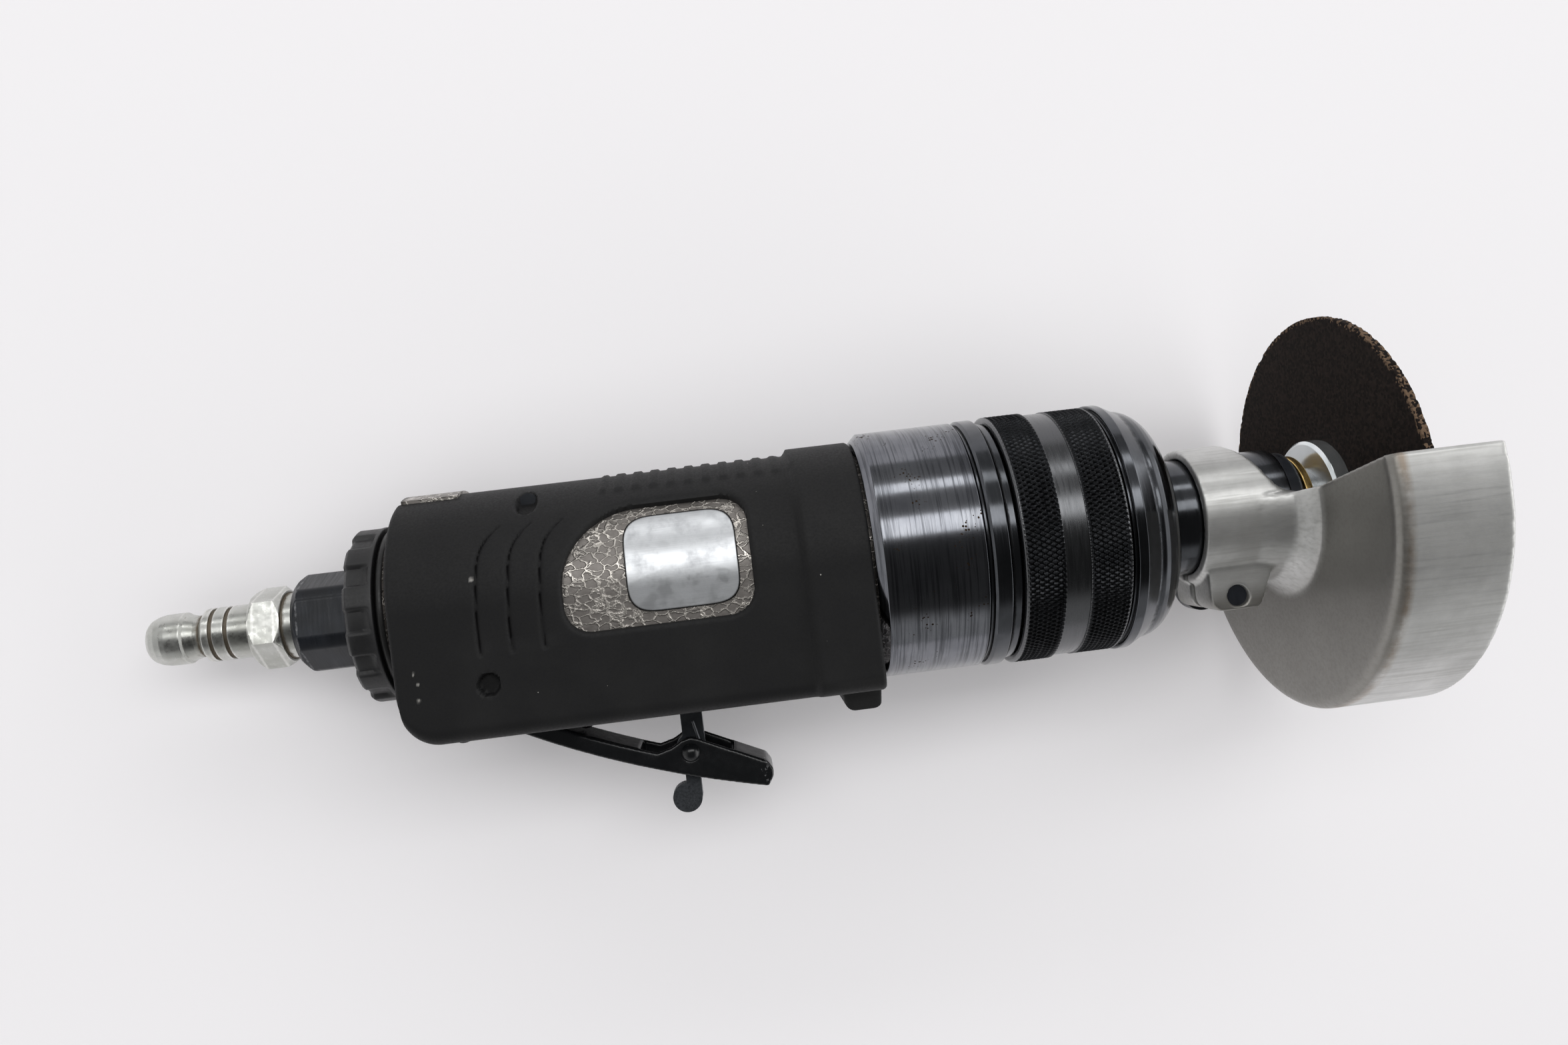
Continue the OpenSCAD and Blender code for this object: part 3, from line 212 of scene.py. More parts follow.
def metal(name, colour, shade, roughness, metallic=1.0, patch=9.0, mark=0.5, round_marks=0.06, depth=0.004,
          worn=None, dirt=None, worn_from=0.45, mark_shade=None, pitted=None):
    """Machined metal: two tones in cloudy patches, fine marks that run round the motor axis and change the gloss,
    outer corners worn to a brighter metal and inner corners filled with dirt. The deeper marks can be painted a
    darker colour, as painted shade for the dark that their tilted sides mirror, and pitted gives small pits in loose
    clusters. Lengths are in millimetres."""
    made, tree, shader, place = begun(name, metallic, roughness)
    cloud = add(tree, "TexNoise", {"Vector": place, "Scale": 1 / patch, "Detail": 5.0, "Roughness": 0.6})
    spread = add(tree, "MapRange", [cloud, 0.38, 0.64])
    tone = add(tree, "Mix", {0: spread, 6: linear(colour), 7: linear(shade)}, **colours)
    lines = add(tree, "Mapping", {"Vector": place, "Scale": (1 / mark, round_marks / mark, round_marks / mark)})
    fine = add(tree, "TexNoise", {"Vector": lines, "Scale": 1.0, "Detail": 4.0, "Roughness": 0.65})
    gloss = add(tree, "MapRange", [fine, 0.3, 0.7, roughness * 0.75, roughness * 1.35])
    if mark_shade:
        mark_shade_share = add(tree, "MapRange", [fine, 0.46, 0.62, 0.0, 0.7])
        tone = add(tree, "Mix", {0: mark_shade_share, 6: tone, 7: linear(mark_shade)}, **colours)
    if pitted:
        cells = add(tree, "TexVoronoi", {"Vector": place, "Scale": 1 / 0.7}, "Distance")
        cluster = add(tree, "TexNoise", {"Vector": place, "Scale": 1 / 7, "Detail": 2.0})
        size = add(tree, "MapRange", [cluster, 0.56, 0.72, 0.0, 0.4])
        pit = add(tree, "Math", [cells, size], operation="LESS_THAN")
        tone = add(tree, "Mix", {0: pit, 6: tone, 7: linear(pitted)}, **colours)
        gloss = add(tree, "Math", [pit, 0.4, gloss], operation="MULTIPLY_ADD")
    edge = add(tree, "Attribute", {}, "Fac", attribute_name="edge")
    ragged = add(tree, "TexNoise", {"Vector": place, "Scale": 1 / 1.3, "Detail": 4.0, "Roughness": 0.7})
    if worn:
        rub = add(tree, "Math", [ragged, 0.9, edge], operation="MULTIPLY_ADD")
        rubbed = add(tree, "MapRange", [rub, 0.45 + worn_from, 0.8 + worn_from])
        tone = add(tree, "Mix", {0: rubbed, 6: tone, 7: linear(worn)}, **colours)
        if metallic < 1:
            wired(tree, shader, {"Metallic": add(tree, "MapRange", [rubbed, 0.0, 1.0, metallic])})
    if dirt:
        sunk = add(tree, "Math", [edge, -1.0, ragged], operation="MULTIPLY_ADD")
        filled = add(tree, "MapRange", [sunk, 0.8, 1.3, 0.0, 0.85])
        tone = add(tree, "Mix", {0: filled, 6: tone, 7: linear(dirt)}, **colours)
        gloss = add(tree, "Math", [filled, 0.35, gloss], operation="MULTIPLY_ADD")
    bump = add(tree, "Bump", {"Height": fine, "Strength": 0.5, "Distance": depth / 1000})
    wired(tree, shader, {"Base Color": tone, "Roughness": gloss, "Normal": bump})
    return made


def fitted(piece, finish, slot, body, *nodes):
    """Gives a piece its finish, sets it on its body, and lets it stand for CAD nodes. slot is not used."""
    piece.data.materials.append(finish)
    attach(piece, body)
    if nodes:
        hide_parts(*nodes)


plug_x, plug_hex_x, plug_hex_end, bushing_x = -43.3, -21.9, -15.6, -13.0
tip = [(plug_x + 4.4 * (1 - np.cos(a)), 2.9 + 2.25 * np.sin(a), 1.5) for a in np.radians([20, 40, 60, 78])]
plug_outline = [
    (plug_x, 2.6, 0.2), (plug_x, 2.9, 0.4), *tip, (-38.9, 5.15, 1.5), (-36.0, 5.15, 0.3), (-35.5, 4.75, 0.2),
    (-33.8, 4.2, 0.5), (-32.6, 4.2, 0.3), (-31.6, 5.35, 0.3), (-30.3, 5.35), (-30.3, 4.95), (-29.5, 4.95),
    (-29.5, 5.35), (-27.3, 5.35), (-27.3, 4.95), (-26.5, 4.95), (-26.5, 5.35), (plug_hex_x, 5.35, 0.2),
    (plug_hex_x, 7.15, 0.2), (plug_hex_x + 1.1, 8.25, 0.3), (plug_hex_end - 1.1, 8.25, 0.3),
    (plug_hex_end, 7.15, 0.2), (plug_hex_end, 6.5, 0.2), (-5.0, 6.5), (-5.0, 2.6)]
# Nickel plate: bright and nearly white, with soft smudges and dust in the corners
nickel_plate = metal("nickel_plate", "#d0d1cd", "#b6b7b1", 0.3, mark=1.2, round_marks=1.0, depth=0.0004,
                     worn="#dcdcd8", dirt="#6a5d4c")
plug = turned("air_plug_turned", plug_outline, first=47.5,
              shape=hexagon(plug_hex_x - 0.05, plug_hex_end + 0.05, 14.3, 17.5))
fitted(plug, nickel_plate, "plated_steel", "handle", "air_plug")

# Inlet bushing and screen
# A black oxide steel bushing with six narrow flats, screwed into the handle. It takes the plug and holds the collar
# on its shank. A punched steel screen sits in its bore.
bushing_outline = [
    (bushing_x, 6.55, 0.3), (bushing_x, 8.35, 0.3), (bushing_x + 1.4, 9.75, 0.4), (-0.3, 9.75, 0.25), (-0.3, 9.4),
    (20.0, 9.4), (20.0, 5.0), (-4.0, 5.0), (-4.0, 6.55)]
# Black oxide: a thin blue-black skin on steel, oily in its gloss and rubbed bright on sharp corners
black_oxide = metal("black_oxide_steel", "#191b1f", "#23262c", 0.34, metallic=0.35, mark=0.4, worn="#8d8e90",
                    dirt="#4a4138", worn_from=0.72)
bushing = turned("inlet_bushing_turned", bushing_outline, first=51.5,
                 shape=hexagon(bushing_x - 0.1, -0.25, 18.0, 21.5))
fitted(bushing, black_oxide, "black_steel", "handle", "inlet_bushing")


def dressed(finish, *nodes):
    """Gives a finish to CAD nodes whose shape is right."""
    for node in nodes:
        frame["nodes"][node].data.materials.clear()
        frame["nodes"][node].data.materials.append(finish)


# Ground steel: bright grey with fine marks all one way
ground_steel = metal("ground_steel", "#b4b5b6", "#9a9b9d", 0.28, mark=0.3)
dressed(ground_steel, "inlet_screen")

# Exhaust collar and its seal
# A black plastic ring with grip notches that turns on the bushing and sends the exhaust air away from the hand.
# It is moulded; dust sits in its notches. A rubber ring behind it closes the gap to the handle.
collar_l, collar_r = 5.7, 17.4
collar_outline = [(0.0, 9.45), (0.0, collar_r - 0.7, 0.4), (0.7, collar_r, 0.5), (collar_l, collar_r, 0.3),
                  (collar_l, 15.2), (2.4, 15.2), (2.4, 10.85), (collar_l, 10.85), (collar_l, 9.45)]


def notched(x, far, angle):
    """Twelve notches round the rear of the rim, and three exhaust slots at its front on the far side: the distance
    from the axis drops by a depth times a flat-topped bump of the angle from the nearest notch."""
    off = np.abs((np.degrees(angle) + 15) % 30 - 15)
    notch = np.clip((8.2 - off) / 2.2, 0, 1) * np.clip((4.9 - x) / 0.5, 0, 1) * (far > 15.5)
    away = np.abs((np.degrees(angle) - 270 + 180) % 360 - 180)
    slot = np.clip((5.6 - np.abs((away + 12.5) % 25 - 12.5)) / 1.0, 0, 1) * (away < 32)
    slot = slot * np.clip((x - 2.9) / 0.4, 0, 1) * (far > 15.5)
    return far - 0.85 * notch - 1.9 * slot


def moulded(name, colour, pale, roughness, grit=0.5, depth=0.012, speck=None, hollow_dust_and_shade="#453c34", shine=0.5):
    """Moulded plastic or rubber: one dark tone with paler rubbed patches, a fine grit in the surface, another tone in
    inner corners, which is dust on the collar and painted shade on the grip, and pale specks at random and where the
    chip mark says. grit is the spacing of the grain."""
    made, tree, shader, place = begun(name, 0.0, roughness)
    shader["Specular IOR Level"].default_value = shine
    cloud = add(tree, "TexNoise", {"Vector": place, "Scale": 1 / 14, "Detail": 5.0, "Roughness": 0.6})
    edge = add(tree, "Attribute", {}, "Fac", attribute_name="edge")
    rub = add(tree, "Math", [edge, 0.35, cloud], operation="MULTIPLY_ADD")
    rubbed = add(tree, "MapRange", [rub, 0.42, 0.95])
    tone = add(tree, "Mix", {0: rubbed, 6: linear(colour), 7: linear(pale)}, **colours)
    # Inner corners take the hollow colour: brown dust on the collar, painted shade in the grip's lines and pin holes
    dust_and_shade = add(tree, "MapRange", [edge, -0.25, -0.9, 0.0, 0.6])
    tone = add(tree, "Mix", {0: dust_and_shade, 6: tone, 7: linear(hollow_dust_and_shade)}, **colours)
    if speck:
        cells = add(tree, "TexVoronoi", {"Vector": place, "Scale": 1 / 2.6, "Randomness": 1.0}, "Distance")
        rare = add(tree, "TexNoise", {"Vector": place, "Scale": 1 / 5.0, "Detail": 2.0})
        size = add(tree, "MapRange", [rare, 0.56, 0.75, 0.0, 0.11])
        chip = add(tree, "Math", [cells, size], operation="LESS_THAN")
        struck = add(tree, "Attribute", {}, "Fac", attribute_name="chip")
        chip = add(tree, "Math", [chip, struck], operation="MAXIMUM")
        tone = add(tree, "Mix", {0: chip, 6: tone, 7: linear(speck)}, **colours)
    grain = add(tree, "TexNoise", {"Vector": place, "Scale": 1 / grit, "Detail": 3.0, "Roughness": 0.6})
    gloss = add(tree, "MapRange", [grain, 0.3, 0.7, roughness - 0.08, roughness + 0.08])
    bump = add(tree, "Bump", {"Height": grain, "Strength": 0.6, "Distance": depth / 1000})
    wired(tree, shader, {"Base Color": tone, "Roughness": gloss, "Normal": bump})
    return made


# Moulded black plastic, satin, with a fine grain
black_plastic = moulded("moulded_black_plastic", "#161617", "#2c2c2d", 0.48)
collar = turned("exhaust_collar_moulded", collar_outline, steps=360, shape=notched)
fitted(collar, black_plastic, "black_plastic", "collar", "exhaust_collar")
# Black seal rubber, a little glossy with oil
seal_rubber = moulded("seal_rubber", "#121212", "#1d1d1d", 0.42)
dressed(seal_rubber, "collar_seal")

# Handle housing
# An aluminium casting with the motor bored into it, finished in a grey-brown hammered paint.
# The paint shows in the sleeve's window and on the land at the rear of the back.
hammered, tree, shader, place = begun("hammered_paint", 0.75, 0.34)
# Hammered paint: metal flake in lacquer that draws up into shiny wandering ridges about two millimetres apart
wander = add(tree, "TexNoise", {"Vector": place, "Scale": 1 / 1.4, "Detail": 2.0}, "Color")
bent = add(tree, "VectorMath", [wander, (1.3, 1.3, 1.3), place], "Vector", operation="MULTIPLY_ADD")
cells = add(tree, "Mapping", {"Vector": bent, "Scale": (1 / 2.5, 1 / 1.5, 1 / 1.5)})
level = add(tree, "TexVoronoi", {"Vector": cells, "Scale": 1.0}, "Distance", feature="DISTANCE_TO_EDGE")
ridge = add(tree, "MapRange", [level, 0.02, 0.13, 1.0, 0.0], interpolation_type="SMOOTHSTEP")
mottle = add(tree, "TexNoise", {"Vector": place, "Scale": 1 / 1.1, "Detail": 4.0})
tone = add(tree, "Mix", {0: mottle, 6: linear("#8e8a86"), 7: linear("#726d69")}, **colours)
tone = add(tree, "Mix", {0: ridge, 6: tone, 7: linear("#c4bfb8")}, **colours)
# Painted shade: the housing's rear rim, seen in the gap behind the sleeve, is mixed to a near black brown
rear_gap_shade = add(tree, "MapRange", [add(tree, "SeparateXYZ", [place], "X"), 11.5, 10.5, 0.0, 0.9])
tone = add(tree, "Mix", {0: rear_gap_shade, 6: tone, 7: linear("#1f1b18")}, **colours)
gloss = add(tree, "MapRange", [ridge, 0.0, 1.0, 0.44, 0.22])
height = add(tree, "Math", [mottle, 0.25, ridge], operation="MULTIPLY_ADD")
bump = add(tree, "Bump", {"Height": height, "Strength": 0.8, "Distance": 0.00022})
wired(tree, shader, {"Base Color": tone, "Roughness": gloss, "Normal": bump})
dressed(hammered, "handle_housing")

# Grip sleeve
# A rubber sleeve moulded over the housing, with a window on one flank, a slot for the lever, three curved grip lines,
# ribs on its back, a raised band and a finger stop at the front. It is matt, and worn paler on the finger stop.
grip_x, grip_end, grip_r, grip_bottom, grip_edge, heel_r = 9.5, 99.5, 22.3, 24.5, 3.0, 7.0
band_from, band_rise = 86.2, 1.3
stop_from, stop_x, stop_half, stop_drop, stop_corner = 89.5, 92.0, 15.0, 2.5, 2.0
stop_toe, stop_tail = stop_x + stop_corner, grip_end - stop_corner
slot_x, slot_end, slot_half, land_end, land_half, land_u = 12.0, 64.6, 6.0, 21.5, 7.0, 0.7969
line_x, line_gap, line_lean, line_mid, line_half = 25.6, 5.9, 0.07, 3.5, 12.5
line_w, line_depth, line_step, line_fade = 0.3, 0.45, 0.34, 2.2
rib_x, rib_first, rib_gap, rib_rise, rib_ends, rib_from = 68.5, 50, 3.4, 0.35, (19.2, 18.4), (3.62, 3.66)
sleeve_t = 1.5
window = {"x": (41.7, 77.2), "y": (-7.0, 16.0), "corner": 5.0, "long": 15.0}


def eased(value, start, end):
    """Smooth step from 0 at start to 1 at end."""
    share = np.clip((value - start) / (end - start), 0, 1)
    return share * share * (3 - 2 * share)


def bulge(off, radius):
    """Height of a circle's arc at a distance off its middle: the root of the radius squared less that squared."""
    return np.sqrt(np.maximum(radius ** 2 - off ** 2, 0))


def rolled(gap, width, depth):
    """Drop of a rolled edge: depth at the edge, times the square of the share of the width that is left."""
    return depth * np.clip(1 - gap / width, 0, 1) ** 2


def stations(*stretches):
    """Stations along a line: each stretch is (start, end, spacing), and the last one's end closes the list."""
    runs = [np.linspace(a, b, max(2, round((b - a) / gap)), endpoint=False) for a, b, gap in stretches]
    return np.concatenate([*runs, [stretches[-1][1]]])


def grip_section(x, u, near):
    """Sleeve section at station x: u runs 0 to 1 along the flat lever side from its middle, to 2 round the corner,
    to 3 up the flank and to 4 round the back. The flat sinks to the finger stop and rises at the rounded heel."""
    r = grip_r + band_rise * eased(x, band_from, band_from + band_rise)
    heel = np.maximum(grip_x + heel_r - x, 0)
    bottom = grip_bottom - heel_r + bulge(heel, heel_r)
    arc = np.radians(90) * (u - 1)
    back = np.radians(90) * (u - 3)
    z = np.select([u <= 1, u <= 2, u <= 3], [u * (r - grip_edge), r - grip_edge + grip_edge * np.sin(arc), r + 0 * u],
                  r * np.cos(back))
    low = -(bottom - grip_edge)
    y = np.select([u <= 1, u <= 2, u <= 3], [-bottom + 0 * u, low - grip_edge * np.cos(arc), low * (3 - u)],
                  r * np.sin(back))
    fillet = stop_drop - bulge(np.clip(x, stop_from, stop_x) - stop_from, stop_drop)
    toe = stop_drop + bulge(stop_toe - np.clip(x, stop_x, stop_toe), stop_corner)
    end = stop_drop + bulge(np.clip(x, stop_tail, grip_end) - stop_tail, stop_corner)
    drop = np.select([x < stop_x, x < stop_tail], [fillet, toe], end)
    drop = drop * (1 - eased(z, stop_half - 1.1, stop_half + 0.3))
    y = y - np.where(u <= 1, drop, 0)
    return y, np.where(near, z, -z)


def window_distance(x, y):
    """Signed distance from the window's edge, negative inside: a rounded box cut by one long corner arc."""
    (x0, x1), (y0, y1), c = window["x"], window["y"], window["corner"]
    ox = np.abs(x - (x0 + x1) / 2) - (x1 - x0) / 2 + c
    oy = np.abs(y - (y0 + y1) / 2) - (y1 - y0) / 2 + c
    box = np.minimum(np.maximum(ox, oy), 0) + np.hypot(np.maximum(ox, 0), np.maximum(oy, 0)) - c
    cx, cy = x0 + window["long"], y1 - window["long"]
    arc = np.hypot(x - cx, y - cy) - window["long"]
    return np.where((x < cx) & (y > cy), np.maximum(box, arc), box)


grip_stations = stations((grip_x, 15.0, 0.25), (15.0, land_end, 0.6), (land_end, 24.0, 0.5), (24.0, slot_end, 0.34),
                         (slot_end, 79.0, 0.34), (79.0, stop_from, 0.6), (stop_from, 91.6, 0.3), (91.6, 92.4, 0.1),
                         (92.4, 94.2, 0.2), (94.2, stop_tail, 0.5), (stop_tail, grip_end, 0.2))
flat = grip_r - grip_edge
near_u = np.concatenate([stations((0, 6, 0.75), (6, 13.6, 0.7), (13.6, 15.5, 0.22), (15.5, flat, 0.6)) / flat,
                         1 + stations((0, 1, 0.12))[1:], 2 + stations((0, 1, 0.02))[1:],
                         3 + stations((0, 0.53, 0.0115), (0.53, land_u, 0.02), (land_u, 1, 0.028))[1:]])
far_u = np.concatenate([stations((0, 6, 1.5), (6, 13.6, 1.5), (13.6, 15.5, 0.25), (15.5, flat, 1.0)) / flat,
                        1 + stations((0, 1, 0.16))[1:], 2 + stations((0, 1, 0.05))[1:],
                        3 + stations((0, land_u, 0.03), (land_u, 1, 0.05))[1:]])[::-1][1:-1]
ring_u = np.concatenate([near_u, far_u])
near_side = np.concatenate([np.ones(len(near_u), bool), np.zeros(len(far_u), bool)])
x = grip_stations[:, None] + 0 * ring_u
u = ring_u + 0 * x
y, z = grip_section(x, u, near_side)
# Points beside the window's edge move onto it, along the edge distance's slope
gap = window_distance(x, y)
slope_x = (window_distance(x + 0.01, y) - gap) / 0.01
slope_y = (window_distance(x, y + 0.01) - gap) / 0.01
snap = (np.abs(gap) < 0.24) & near_side & (u > 2)
x, y = np.where(snap, x - gap * slope_x, x), np.where(snap, y - gap * slope_y, y)
z = np.where(snap, bulge(np.maximum(y, 0), grip_r), z)
gap = np.where(near_side & (u > 2), window_distance(x, y), 9.0)
# Heights over the plain sleeve: grip lines, pin holes, ribs and rolled edges
climb = np.where(u > 3, grip_r * np.radians(90) * (u - 3), y)
reach = (climb - line_mid) / line_half
height, groove = np.zeros_like(x), np.zeros_like(x)
for i in range(3):
    line = line_x + line_gap * i + line_lean * (climb + 2) + np.where(reach > 0, 4.2, 0.8) * reach ** 4
    off = x - line
    lit = (np.abs(reach) < 1.0) * near_side * (u > 2)
    cut = np.exp(-(off / line_w) ** 2) * eased(1.06 - np.abs(reach), 0, 0.12)
    groove = groove + cut * lit
    height = height - lit * (line_depth * cut + line_step * np.exp(-np.clip(off, 0, None) / line_fade) * (off > 0)
                             * eased(1 - np.abs(reach), 0, 0.25))
for hole_x, hole_y, hole_r in ((26.6, -14.2, 2.05), (35.6, 18.45, 2.0)):
    bore = 1 - eased(np.hypot(x - hole_x, y - hole_y), hole_r - 0.25, hole_r + 0.2)
    height, groove = height - 1.5 * bore, groove + bore
rib = np.clip(0.5 + 3 * np.cos(2 * np.pi * (x - rib_first) / rib_gap), 0, 1) * eased(np.abs(x - rib_x), *rib_ends)
height = height + rib_rise * rib * eased(u, *rib_from)
height = height - rolled(gap, 0.7, 0.55)
height = height - rolled(x - grip_x, 0.8, 0.5) - rolled(grip_end - x, 0.7, 0.4)
slot_gap = np.maximum(np.maximum(slot_x - x, x - slot_end), np.abs(z) - slot_half)
height = height - rolled(slot_gap, 0.8, 0.45) * (u < 1)
points = np.stack([x, y, z], axis=-1)
side = np.cross(np.gradient(points, axis=0), np.gradient(points, axis=1))
side /= np.maximum(np.linalg.norm(side, axis=-1, keepdims=True), 1e-9)
points = points + side * height[..., None]


def middles(values):
    """Mean of each cell's four corners, the last column joined to the first."""
    wide = np.hstack([values, values[:, :1]])
    return (wide[:-1, :-1] + wide[1:, :-1] + wide[1:, 1:] + wide[:-1, 1:]) / 4


mid_x, mid_z, mid_u, mid_gap = middles(x), middles(z), middles(u), middles(gap)
in_slot = (mid_x > slot_x) & (mid_x < slot_end) & (np.abs(mid_z) < slot_half) & (mid_u < 1)
in_land = (mid_x < land_end) & (np.abs(mid_z) < land_half) & (mid_u > 3)
# Painted shade: the grip lines and pin holes get a negative mark that darkens them; the finger stop and the window's
# edge get a positive one and are worn paler
wear_and_groove_shade = 0.8 * eased(x, 88.5, 92.5) * (u < 2) + 0.5 * np.clip(1 - gap / 0.5, 0, 1) - 0.9 * np.clip(groove, 0, 1)
chips = np.zeros_like(x)
for chip_x, chip_y, chip_r in ((25.5, 5.3, 0.45), (13.3, -10.6, 0.3), (13.9, -12.7, 0.3), (13.7, -15.6, 0.35)):
    chips += (1 - eased(np.hypot(x - chip_x, y - chip_y), 0.5 * chip_r, chip_r)) * near_side * (u > 2)
sleeve = surface("grip_sleeve_moulded", points, around=True, marks={"edge": wear_and_groove_shade, "chip": chips}, closed=False,
                 kept=~(in_slot | in_land | (mid_gap < -0.02)), inner=points - sleeve_t * side)
# Matt moulded rubber: charcoal, dusty, with a few pale chips, and painted shade in the grip lines and pin holes
grip_rubber = moulded("moulded_grip_rubber", "#111112", "#1c1c1c", 0.62, grit=0.45, depth=0.02, speck="#8f8d89",
                      hollow_dust_and_shade="#080808", shine=0.3)
fitted(sleeve, grip_rubber, "grip_rubber", "handle", "grip_sleeve")

# Rating plate
# A thin bare aluminium plate, brushed and stuck in the window. Its edge is painted dark, as painted shade of the gap
# round it.
plate_x, plate_y, plate_corner, plate_r = (53.6, 74.8), (-4.7, 13.3), 2.5, 21.1
turn = np.linspace(0, 2 * np.pi, 200, endpoint=False)
half = np.array([np.ptp(plate_x), np.ptp(plate_y)]) / 2 - plate_corner
way = np.stack([np.cos(turn), np.sin(turn)], axis=-1)
bow = np.abs(way) ** 0.22 * np.sign(way)
brim = bow * half + plate_corner * way / np.linalg.norm(way, axis=-1, keepdims=True)
brim = np.sign(brim) * np.minimum(np.abs(brim), half + plate_corner)
share = np.concatenate([np.linspace(0, 0.955, 30), [0.965, 0.975, 0.985, 0.995, 1.0, 1.0]])
drop = np.concatenate([np.zeros(30), [0.0, 0.01, 0.04, 0.1, 0.2, 0.42]])
x = np.mean(plate_x) + share[:, None] * brim[:, 0]
y = np.mean(plate_y) + share[:, None] * brim[:, 1]
z = bulge(np.maximum(y, 0), plate_r) - drop[:, None]
rim_shade = np.concatenate([np.zeros(30), [0.0, 0.5, 1.0, 1.0, 1.0, 1.0]])[:, None]
plate = surface("rating_plate_bare", np.stack([x, y, z], axis=-1), around=True, marks={"edge": rim_shade},
                closed=False)
# Brushed aluminium: fine lines along the plate, finger smudges that dull it, and a dark edge of painted shade
brushed, tree, shader, place = begun("brushed_aluminium", 0.9, 0.36)
lines = add(tree, "Mapping", {"Vector": place, "Scale": (1 / 9.0, 1 / 0.16, 1 / 0.16)})
brush = add(tree, "TexNoise", {"Vector": lines, "Scale": 1.0, "Detail": 3.0})
smudge = add(tree, "TexNoise", {"Vector": place, "Scale": 1 / 4.5, "Detail": 5.0, "Roughness": 0.65})
dull = add(tree, "MapRange", [smudge, 0.5, 0.72, 0.0, 0.5])
tone = add(tree, "Mix", {0: brush, 6: linear("#dfe1e3"), 7: linear("#c2c5c8")}, **colours)
tone = add(tree, "Mix", {0: dull, 6: tone, 7: linear("#9a9ca0")}, **colours)
edge = add(tree, "Attribute", {}, "Fac", attribute_name="edge")
# Painted shade: the plate's rim is mixed to near black, for the gap round it
tone = add(tree, "Mix", {0: edge, 6: tone, 7: linear("#1c1b1a")}, **colours)
gloss = add(tree, "MapRange", [smudge, 0.4, 0.75, 0.3, 0.5])
bump = add(tree, "Bump", {"Height": brush, "Strength": 0.4, "Distance": 0.000008})
wired(tree, shader, {"Base Color": tone, "Roughness": gloss, "Normal": bump})
fitted(plate, brushed, "plate_aluminium", "handle", "rating_plate")

# Throttle valve
# A steel stem with a rubber seal, held shut by a spring under a black plug in the handle's back.
# Two cross pins hold the plug and the lever.
dressed(ground_steel, "valve_stem")
dressed(black_oxide, "valve_plug", "lever_pin", "plug_pin")
# Turned brass, warm and slightly tarnished
brass_metal = metal("turned_brass", "#b9934c", "#8f6c33", 0.3, mark=0.3, dirt="#4c3c22", worn="#d8b877")
dressed(brass_metal, "valve_bushing")
dressed(seal_rubber, "valve_seal")


def swept(name, path, wire_r, side_way, sides=14):
    """Wire along a path: at each point a circle of the wire's radius stands square to the path's direction and
    to a fixed side direction; the ends close on their own middle points."""
    along = np.gradient(path, axis=0)
    along /= np.linalg.norm(along, axis=1, keepdims=True)
    across = np.cross(along, side_way)
    across /= np.linalg.norm(across, axis=1, keepdims=True)
    over = np.cross(across, along)
    angle = np.linspace(0, 2 * np.pi, sides, endpoint=False)[None, :, None]
    tube = path[:, None] + wire_r * (np.cos(angle) * across[:, None] + np.sin(angle) * over[:, None])
    caps = [np.repeat(path[i][None, None], sides, axis=1) for i in (0, -1)]
    return surface(name, np.concatenate([caps[0], tube, caps[1]]), around=True)


def coil(radius, turns, rise, start=0.0):
    """Helix round its own last axis: a circle of the radius, climbing evenly by rise over all its turns."""
    angle = start + np.linspace(0, 2 * np.pi * turns, int(turns * 40) + 1)
    return np.stack([radius * np.cos(angle), radius * np.sin(angle), rise * np.linspace(0, 1, len(angle))], axis=-1)


# Spring steel: grey wire with a dull drawn skin
spring_steel = metal("spring_steel", "#6e7073", "#55575a", 0.35, mark=0.25)
stem_x, valve_spring_y, valve_spring_l, wire_r = 40.3, 2.5, 9.2, 0.3
helix = coil(2.8, 5, valve_spring_l)
spring_path = np.stack([stem_x + helix[:, 0], valve_spring_y + helix[:, 2], -helix[:, 1]], axis=-1)
valve_spring = swept("valve_spring_wound", spring_path, wire_r, (0.0, 1.0, 0.0))
fitted(valve_spring, spring_steel, "bright_steel", "handle", "valve_spring")
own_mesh(valve_spring)

# Throttle lever
# A bar of steel bent to the hand, with a hub on its pin, a heel bump and a humped head that holds the latch.
# It is painted semi-gloss black; the tip is chipped and rubbed to bare metal.


def cast(name, node, voxel, passes):
    """Copy of a CAD node as a casting: it is turned level with the tool, filled with voxels of a size in millimetres
    and smoothed in passes, so that inner corners become fillets and outer ones soft edges."""
    source = frame["nodes"][node].data
    at = np.empty(len(source.vertices) * 3)
    source.vertices.foreach_get("co", at)
    level = (at.reshape(-1, 3) - axis_point) @ tool_axes.T * 1000 + np.array([axis_point_x, 0.0, 0.0])
    rough = source.copy()
    rough.vertices.foreach_set("co", level.ravel())
    blank = placed(name + "_blank", rough)
    blank.modifiers.new("joined", "WELD").merge_threshold = 1e-4
    remesh = blank.modifiers.new("cast", "REMESH")
    remesh.mode, remesh.voxel_size, remesh.use_smooth_shade = "VOXEL", voxel, True
    smooth = blank.modifiers.new("fettled", "SMOOTH")
    smooth.factor, smooth.iterations = 0.5, passes
    mesh = bpy.data.meshes.new_from_object(blank.evaluated_get(bpy.context.evaluated_depsgraph_get()))
    bpy.data.objects.remove(blank)
    mesh.name = name
    mesh.materials.clear()
    at = np.empty(len(mesh.vertices) * 3)
    mesh.vertices.foreach_get("co", at)
    mesh.vertices.foreach_set("co", laid(at.reshape(-1, 3)).ravel())
    mesh.shade_smooth()
    mesh.update()
    return placed(name, mesh)


